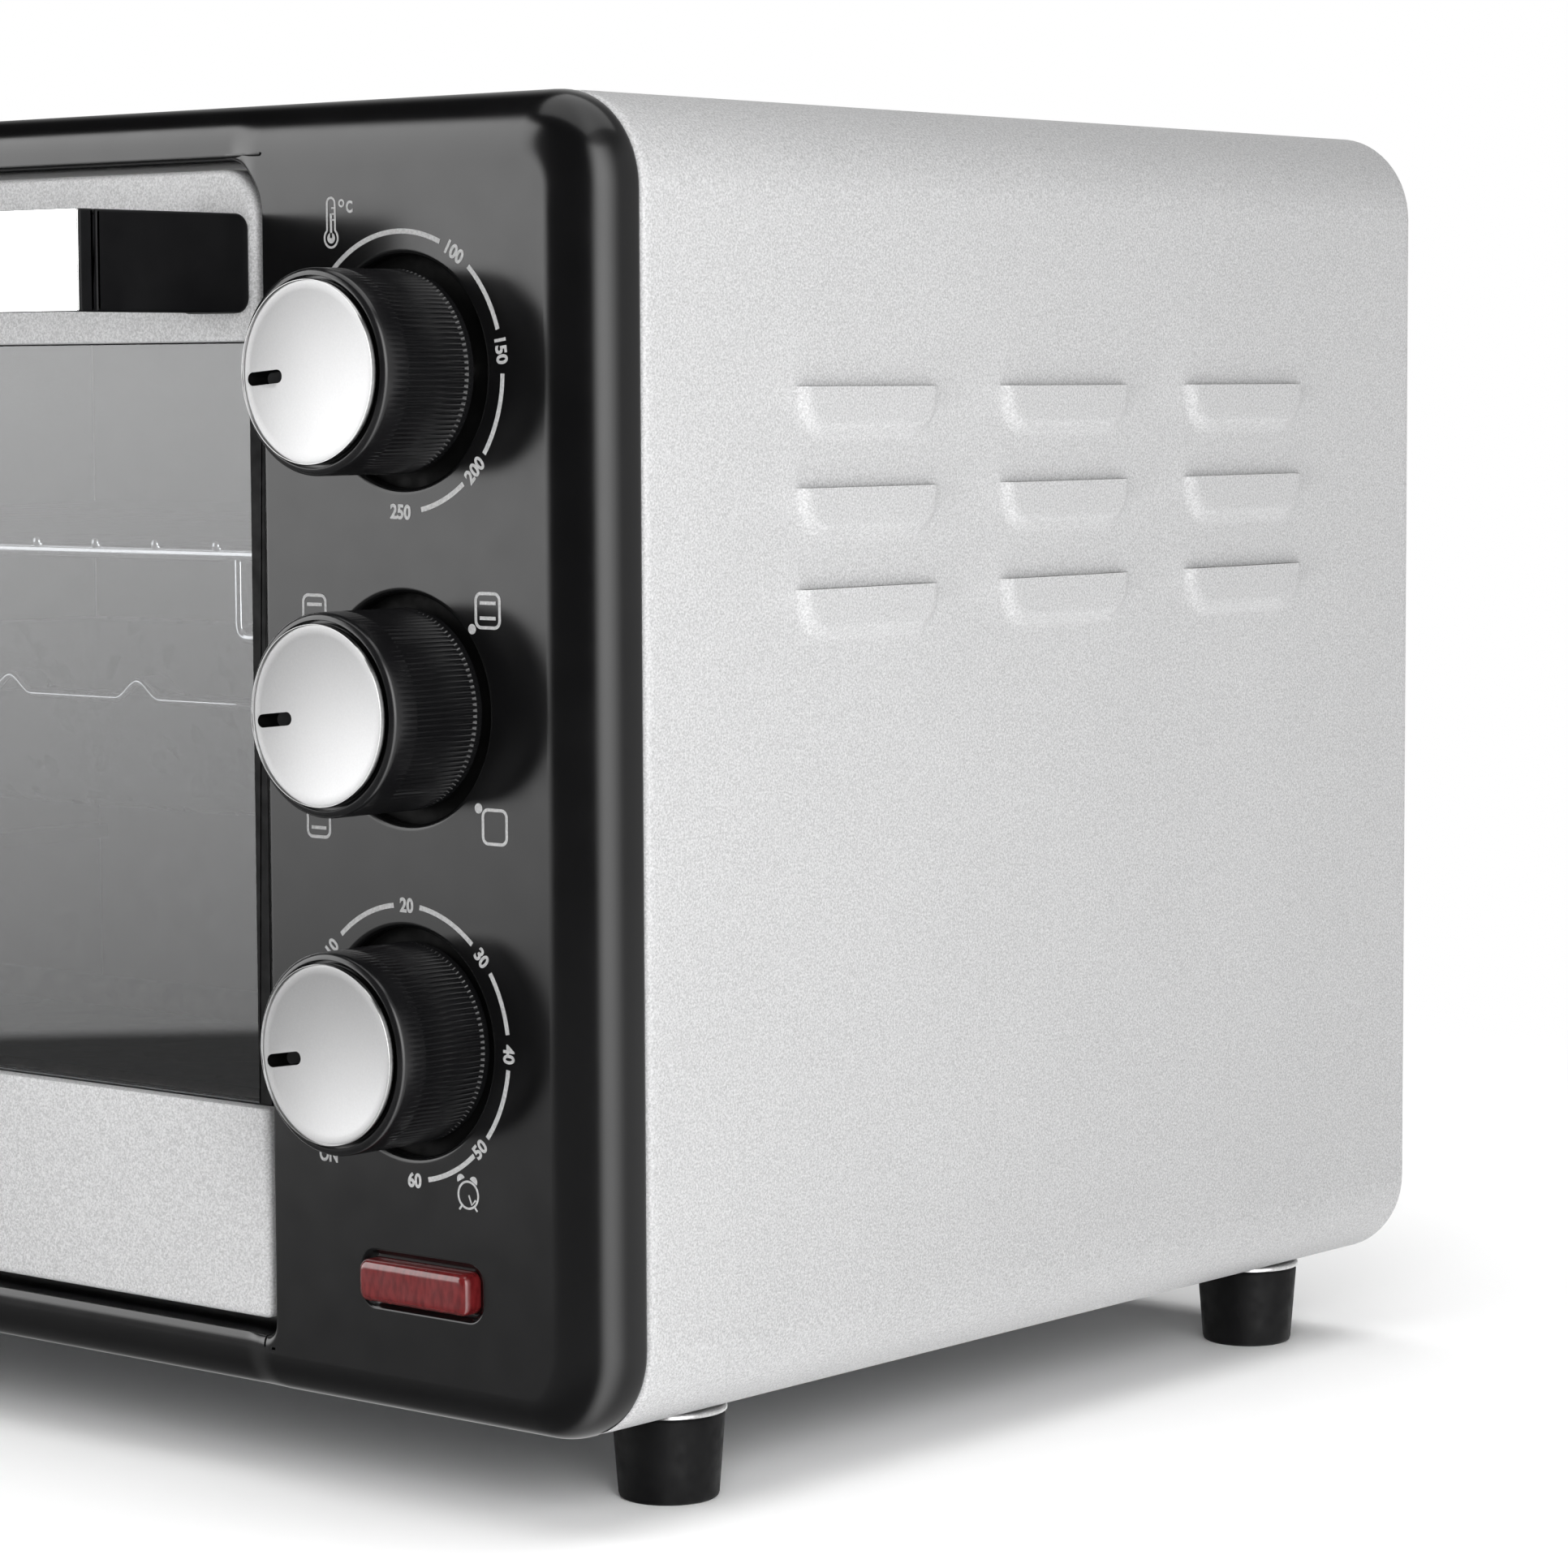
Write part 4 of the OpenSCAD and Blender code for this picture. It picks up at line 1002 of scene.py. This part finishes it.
def make_rack():
    shape = Shape()
    x0 = rack_lo.x + RACK_R
    x1 = rack_hi.x - RACK_R
    y0 = rack_lo.y + RACK_R
    y1 = rack_hi.y - RACK_R
    corners = rounded(x0, x1, y0, y1, 7, 8)
    tube(shape, [(a, b, RACK_Z) for a, b in inset(corners, 0)], RACK_R, 16, closed=True)
    tube(shape, [(x0, (y0 + y1) / 2, RACK_Z), (x1, (y0 + y1) / 2, RACK_Z)], RACK_R, 16)
    wire_z = RACK_Z + 0.6 * (RACK_R + CROSS_R)
    for i in range(1, int((x1 - x0 - 6) / CROSS_PITCH) + 1):
        x = x1 - i * CROSS_PITCH
        tube(shape, [(x, y0 - 1.6, wire_z), (x, y1 + 1.6, wire_z)], CROSS_R, 12)
    for x in (x0 + 12, x1 - 12):
        hook = bent([(x, y0, RACK_Z), (x, y0, rack_lo.z + CROSS_R),
                     (x + 6, y0, rack_lo.z + CROSS_R)], 3)
        tube(shape, hook, CROSS_R, 12)
    piece("wire_rack_chrome", shape, "rack", [CHROME], ["wire_rack"],
          angle=50)


make_rack()

tray_lo, tray_hi = span("baking_tray")
TRAY_BUMPS = (36.0, 75.0)
BUMP_H = 3.6
BUMP_HALF = 6.5
TRAY_RIM = 8.0


def bump_rise(x, y):
    """The two raised nibs pressed into the front rim, which keep the tray from sliding."""
    if y > tray_lo.y + TRAY_RIM:
        return 0.0
    return sum(BUMP_H * smooth(1 - abs(x - c) / BUMP_HALF) for c in TRAY_BUMPS)


def make_baking_tray():
    shape = Shape()
    breaks = [c + d for c in TRAY_BUMPS for d in spread(-7, 7, 0.7)]
    outer = rounded(tray_lo.x, tray_hi.x, tray_lo.y, tray_hi.y, 14, 12, breaks)
    rim = tray_hi.z
    floor_z = tray_lo.z
    slope = 9.0
    section = [(0.9, rim - 1.1), (0.25, rim - 0.95), (0, rim - 0.5), (0.25, rim - 0.1),
               (0.9, rim), (slope - 1.2, rim), (slope, rim - 0.4), (slope + 0.8, rim - 1.4),
               (slope + 4.0, floor_z + 4.5), (slope + 5.0, floor_z + 1.6),
               (slope + 6.4, floor_z + 0.4), (slope + 8.4, floor_z), (slope + 9.0, floor_z)]

    def lifted(d, z):
        on_rim = d < slope + 0.5
        return [(x, y, z + (bump_rise(x, y) if on_rim else 0.0)) for x, y in inset(outer, d)]

    shape.sweep([shape.loop(lifted(d, z)) for d, z in section])
    tube(shape, lifted(1.0, rim - 0.9), 0.9, 10, 1, closed=True)
    shape.flat(inset(outer, slope + 9.0), [], facing_up(floor_z))
    piece("baking_tray_pan", shape, "oven", [ENAMEL, CHROME],
          ["baking_tray"], towards=(0, 0, 1), sheet=0.8, angle=40)


make_baking_tray()


def make_elements():
    """Heating rods with their ceramic seals' swaged ends."""
    pin_r = 1.5
    for name, node in (("upper_heating_rods", "upper_heating_elements"),
                       ("lower_heating_rods", "lower_heating_elements")):
        lo, hi = span(node)
        r = (hi.z - lo.z) / 2
        shape = Shape()
        half = [(pin_r, 0), (pin_r, 7.5), (r - 0.8, 8), (r, 8.8)]
        section = [(-radius, lo.x + x) for radius, x in half]
        section += [(-radius, hi.x - x) for radius, x in half[::-1]]
        for y in (lo.y + r, hi.y - r):
            ring = circle(y, (lo.z + hi.z) / 2, 0, 32)
            shape.capped(rings(shape, ring, section, facing_side))
        piece(name, shape, "oven", [ELEMENT], [node], angle=40)


make_elements()

# ---- Printed scales ----

PRINT_Y = -0.07
PRINT_T = 0.05
SCALE_R = 26.0
DIGIT = 2.6
ARC_W = 0.95
ink = Shape()


def print_band(a, b, closed=False):
    """The thin raised print between two lines of points in x and z."""
    fronts = [ink.loop([facing_front(PRINT_Y)(*p) for p in line]) for line in (a, b)]
    backs = [ink.loop([facing_front(PRINT_Y + PRINT_T)(*p) for p in line]) for line in (a, b)]
    around = [fronts[0], fronts[1], backs[1], backs[0], fronts[0]]
    for near, far in zip(around, around[1:]):
        ink.strip(near, far, 0, closed)
    if not closed:
        for k in (0, -1):
            ink.face([loop[k] for loop in around[:4]])


def print_fill(outline):
    """A filled raised shape of (point, outward direction) pairs."""
    ink.capped(rings(ink, outline, [(0, PRINT_Y + PRINT_T), (0, PRINT_Y)]))


def stroke(points, width, closed=False):
    """A printed line of a width through points in x and z."""
    left = []
    right = []
    last = len(points) - 1
    for i, (x, z) in enumerate(points):
        before = points[i - 1] if closed or i else points[i]
        after = points[(i + 1) % len(points)] if closed or i < last else points[i]
        t = (Vector(after) - Vector(before)).normalized() * width / 2
        left.append((x - t.y, z + t.x))
        right.append((x + t.y, z - t.x))
    print_band(left, right, closed)


def disc(x, z, r):
    print_fill(circle(x, z, r, 24))


def word(text, x, z, turn=0.0, height=DIGIT, squeeze=0.95):
    """Printed characters centred at x, z and turned by an angle in degrees."""
    curve = bpy.data.curves.new("print_" + text, "FONT")
    curve.body = text
    curve.size = height / 0.70
    curve.offset = 0.05 * height
    curve.align_x = "CENTER"
    curve.resolution_u = 4
    temp = bpy.data.objects.new("print_temp", curve)
    SCENE.collection.objects.link(temp)
    bpy.context.view_layer.update()
    shown = temp.evaluated_get(bpy.context.evaluated_depsgraph_get())
    mesh = bpy.data.meshes.new_from_object(shown)
    bpy.data.objects.remove(temp)
    xs = [v.co.x for v in mesh.vertices]
    ys = [v.co.y for v in mesh.vertices]
    mid_x = (min(xs) + max(xs)) / 2
    mid_y = (min(ys) + max(ys)) / 2
    flat = [turned(((v.co.x - mid_x) * squeeze, v.co.y - mid_y), turn) for v in mesh.vertices]
    front = ink.loop([(x + a, PRINT_Y, z + b) for a, b in flat])
    back = ink.loop([(x + a, PRINT_Y + PRINT_T, z + b) for a, b in flat])
    uses = {}
    for p in mesh.polygons:
        ink.face([front[i] for i in p.vertices])
        ink.face([back[i] for i in reversed(p.vertices)])
        for edge in p.edge_keys:
            uses[edge] = uses.get(edge, 0) + 1
    for (a, b), used in uses.items():
        if used == 1:
            ink.face((front[a], front[b], back[b], back[a]))
    bpy.data.meshes.remove(mesh)


def dial_scale(key, marks, arcs):
    """A dial's numbers and the arcs between them. marks are (bearing, turn) by text and arcs
    are (start, end), in degrees anticlockwise from the right."""
    cx, cz = knob_centre[key]
    for text, (at, turn) in marks.items():
        x, z = turned((SCALE_R, 0), at)
        word(text, cx + x, cz + z, turn)
    for start, end in arcs:
        steps = max(3, int(abs(end - start) / 2.5))
        points = [turned((SCALE_R, 0), start + (end - start) * i / steps) for i in range(steps + 1)]
        stroke([(cx + x, cz + z) for x, z in points], ARC_W)


def mode_icons():
    """Four oven pictograms: both elements, upper only, lower only, and off."""
    boxes = {
        "upper": (HALF - 72.5, 153.4), "both": (HALF - 27.2, 154.8),
        "off": (HALF - 25.9, 114.9), "lower": (HALF - 72.0, 113.7),
    }
    for kind, (x, z) in boxes.items():
        stroke(inset(rounded(x - 3.0, x + 3.0, z - 3.15, z + 3.15, 1.3, 5), 0), 0.6, closed=True)
        for rod, side in (("upper", 1.4), ("lower", -1.4)):
            if kind in (rod, "both"):
                stroke([(x - 2.0, z + side), (x + 2.0, z + side)], 0.65)
    for x, z in ((31.2, 151.3), (30.0, 118.2), (68.3, 150.0), (67.8, 117.2)):
        disc(HALF - x, z, 0.95)


def thermometer_icon():
    x, low, high = HALF - 66.8, 222.0, 231.3
    bulb = 1.75
    tube_r = 1.05
    cz = low + bulb
    start = math.pi / 2 + math.asin(tube_r / bulb)
    end = 3 * math.pi - start
    line = []
    for a in spread(start, end, (end - start) / 24):
        line.append((x + bulb * math.cos(a), cz + bulb * math.sin(a)))
    for a in spread(0, math.pi, math.pi / 8):
        line.append((x + tube_r * math.cos(a), high - tube_r + tube_r * math.sin(a)))
    stroke(line, 0.42, closed=True)
    disc(x, cz, 1.0)
    stroke([(x, cz), (x, cz + 4.6)], 0.55)
    for rise in (3.4, 4.5, 5.6):
        stroke([(x + 0.1, cz + rise), (x + 0.8, cz + rise)], 0.3)
    stroke(inset(circle(HALF - 64.0, 230.2, 0.6, 20), 0), 0.35, closed=True)
    word("C", HALF - 61.9, 229.5, height=2.1, squeeze=0.85)


def clock_icon():
    x, z = HALF - 33.6, 45.6
    stroke(inset(circle(x, z, 2.55, 32), 0), 0.42, closed=True)
    stroke([(x + 0.15, z), (x + 0.9, z - 1.8), (x + 1.9, z - 0.8)], 0.38)
    for bell_x, bell_z, turn in ((-2.0, 3.1, 28), (1.5, 2.9, -30)):
        bell = []
        for a in spread(0, math.pi, math.pi / 12):
            px, pz = turned((math.cos(a), 1.1 * math.sin(a) - 0.4), turn)
            bell.append(((x + bell_x + px, z + bell_z + pz), (0, 0)))
        print_fill(bell)
    for side in (-1, 1):
        stroke([(x + side * 1.65, z - 2.1), (x + side * 2.3, z - 2.9)], 0.4)


dial_scale("temperature", {"100": (57, -33), "150": (8, -82), "200": (-44, 46), "250": (-91, -2)},
           ((168, 66.5), (47.5, 17), (-1, -35.5), (-52.5, -79)))
dial_scale("timer", {"10": (140, 50), "20": (90, 0), "30": (42, -48), "40": (0, -90),
                     "50": (-45, 45), "60": (-87, 0)},
           ((132, 97.5), (82.5, 49.5), (34.5, 8), (-6.5, -38.5), (-49.5, -79)))
word("ON", HALF - 70.5, 49.6, squeeze=0.85)
mode_icons()
thermometer_icon()
clock_icon()
piece("panel_print", ink, "oven", [INK], angle=30)

# ---- CAD nodes that show as they are ----

FINISH = {
    # The cavity nodes take the darkened liner, which is partly painted shade.
    "base_plate": (GALVANISED, 0.2), "cavity_top": (LINER_WITH_PAINTED_SHADE, 0.2), "cavity_floor": (LINER_WITH_PAINTED_SHADE, 0.2),
    "cavity_back": (LINER_WITH_PAINTED_SHADE, 0.2), "cavity_wall_left": (LINER_WITH_PAINTED_SHADE, 0.5),
    "cavity_wall_right": (LINER_WITH_PAINTED_SHADE, 0.5),
    "heat_shield": (GALVANISED, 0.2), "element_insulators": (CERAMIC, 0.4),
    "crumb_tray": (GALVANISED, 0.3), "thermostat": (CONTROL, 0.5), "mode_switch": (CERAMIC, 0.6),
    "timer": (CONTROL, 0.5), "control_screws": (ZINC, 0.3), "lamp_holder": (CERAMIC, 0.4),
    "terminal_block": (CERAMIC, 0.6), "internal_wires": (SLEEVE, 0), "cord_gland": (PLASTIC, 0.8),
    "foot_screws": (ZINC, 0.4), "foot_nuts": (ZINC, 0.3), "case_screws": (ZINC, 0.6),
    "hinge_brackets": (GALVANISED, 0.3), "hinge_springs": (SPRING, 0), "hinge_pins": (ZINC, 0.3),
    "handle_screws": (ZINC, 0.5), "thermostat_shaft": (CONTROL, 0.3),
    "mode_switch_shaft": (CONTROL, 0.3), "timer_shaft": (CONTROL, 0.3),
}
for node, (material, edge) in FINISH.items():
    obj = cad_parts[node]
    obj.data.materials.clear()
    obj.data.materials.append(material)
    if edge:
        weld = obj.modifiers.new("weld", "WELD")
        weld.merge_threshold = 1e-6
        bevel = obj.modifiers.new("worn_edge", "BEVEL")
        bevel.width = edge * MM
        bevel.segments = 2
        bevel.limit_method = "ANGLE"
        bevel.angle_limit = math.radians(35)
        bevel.harden_normals = False

# ---- Floor, light and camera ----


def make_floor():
    """A pale floor that turns to the backdrop's even white away from the oven. Reflections
    pass through it to the studio's painted lower half."""
    bm = bmesh.new()
    bmesh.ops.create_grid(bm, x_segments=8, y_segments=8, size=4.0)
    mesh = bpy.data.meshes.new("floor")
    bm.to_mesh(mesh)
    bm.free()
    made = bpy.data.objects.new("floor", mesh)
    SCENE.collection.objects.link(made)
    r = Recipe("floor_white", tone(0.93), 0.6)
    away = r.node("VectorMath", operation="LENGTH")
    r.link(r.coords.outputs["Object"], away.inputs[0])
    fade = r.ramp(away.outputs["Value"], 0.0, 1.0, 0.27, 0.62, "SMOOTHSTEP")
    white = r.node("Emission")
    clear = r.node("BsdfTransparent")
    path = r.node("LightPath")
    seen = r.mixed(fade, r.shader.outputs[0], white.outputs[0])
    r.surface(r.mixed(path.outputs["Is Glossy Ray"], seen, clear.outputs[0]))
    mesh.materials.append(r.material)
    return made


floor = make_floor()


def bearing(degrees):
    """Level direction at an angle from straight in front, positive to the right."""
    x, y = turned((0, -1), degrees)
    return Vector((x, y, 0))


def make_world():
    """White to the camera. To everything else it is a studio: a tall card at the left front
    that ends just above the floor, a broad softbox at the right, dark round the camera and
    dim walls behind."""
    world = bpy.data.worlds.new("studio")
    SCENE.world = world
    world.use_nodes = True
    world.node_tree.nodes.clear()
    n = Nodes(world.node_tree)
    coords = n.node("TexCoord")

    def along(direction):
        dot = n.node("VectorMath", operation="DOT_PRODUCT")
        n.link(coords.outputs["Generated"], dot.inputs[0])
        dot.inputs[1].default_value = direction
        return dot.outputs["Value"]

    def step(value, low, high, start, end):
        return n.ramp(value, low, high, start, end, "SMOOTHSTEP")

    def right_of(degrees, soft):
        """0 left of a bearing and 1 right of it, blurred over soft degrees each way."""
        edge = math.sin(math.radians(soft))
        return step(along(bearing(degrees + 90)), 0.0, 1.0, -edge, edge)

    def left_of(degrees, soft):
        return right_of(degrees - 180, soft)

    def background(strength):
        made = n.node("Background")
        made.inputs["Color"].default_value = (*tone(1), 1)
        made.inputs["Strength"].default_value = strength
        return made

    height = along((0, 0, 1))
    above_floor = step(height, 0.0, 1.0, -0.1345, -0.1315)
    below_floor = step(height, 1.0, 0.0, -0.1345, -0.1315)
    walls = n.maths("MULTIPLY", step(along(bearing(140)), 0.02, 0.60, -0.20, 0.20),
                    step(height, 1.0, 0.4, 0.45, 0.80))
    card = n.maths("MULTIPLY", right_of(-75, 3), left_of(-37, 3), above_floor,
                   n.ramp(height, 1.25, 3.3, -0.139, 0.0), step(height, 1.0, 0.0, 0.62, 0.70))
    softbox = n.maths("MULTIPLY", right_of(46, 9), left_of(80, 19),
                      n.ramp(height, 2.2, 3.6, -0.187, 0.02), step(height, 1.0, 0.15, 0.66, 0.76))
    ground = n.maths("MULTIPLY", n.ramp(height, 0.10, 0.25, -0.64, -0.20), below_floor)
    light = n.maths("ADD", walls, card, softbox, ground)
    path = n.node("LightPath")
    soft_share = n.ramp(path.outputs["Diffuse Depth"], 1.0, 0.12, 0.0, 1.0)
    studio = background(1.0)
    n.link(n.maths("MULTIPLY", light, soft_share), studio.inputs["Strength"])
    shown = n.mixed(path.outputs["Is Camera Ray"], studio.outputs[0], background(1.0).outputs[0])
    n.link(shown, n.node("OutputWorld").inputs["Surface"])


make_world()


def area(name, at, target, size, power, shown=False):
    """A square soft box at a point, facing another, in metres and watts."""
    lamp = bpy.data.lights.new(name, "AREA")
    lamp.size = size
    lamp.energy = power
    obj = bpy.data.objects.new(name, lamp)
    SCENE.collection.objects.link(obj)
    obj.location = at
    obj.rotation_euler = (Vector(target) - Vector(at)).to_track_quat("-Z", "Y").to_euler()
    obj.visible_glossy = shown
    return obj


area("top_box", (0.1, 0.0, 1.3), (0, 0, 0.1), 1.2, 5, shown=True)
area("front_fill", (0.3, -1.3, 0.9), (-0.05, 0, 0.12), 0.5, 0.8)
area("right_fill", (0.55, -0.42, 0.25), (0.22, -0.06, 0.13), 0.25, 1.55)
floor_only = bpy.data.collections.new("floor_only")
floor_only.objects.link(floor)
floor_box = area("floor_box", (0.0, 0.0, 1.6), (0, 0, 0), 2.4, 36)
floor_box.light_linking.receiver_collection = floor_only


def make_camera():
    """The photograph's viewpoint: right of the front, a little above the middle."""
    azimuth, elevation, roll = (math.radians(a) for a in (40.094, 4.772, -0.252))
    level = -bearing(math.degrees(azimuth)) * math.cos(elevation)
    forward = level - Vector((0, 0, math.sin(elevation)))
    right = forward.cross(Vector((0, 0, 1))).normalized()
    up = right.cross(forward)
    right, up = (right * math.cos(roll) + up * math.sin(roll),
                 up * math.cos(roll) - right * math.sin(roll))
    camera = bpy.data.cameras.new("camera")
    camera.sensor_width = 36
    camera.lens = 109.95
    camera.clip_start = 0.05
    camera.clip_end = 50
    obj = bpy.data.objects.new("camera", camera)
    SCENE.collection.objects.link(obj)
    turn = Matrix((right, up, -forward)).transposed().to_4x4()
    obj.matrix_world = Matrix.Translation(row((800.73, -637.812, 196.041))) @ turn
    SCENE.camera = obj


make_camera()
SCENE.view_settings.view_transform = "Standard"
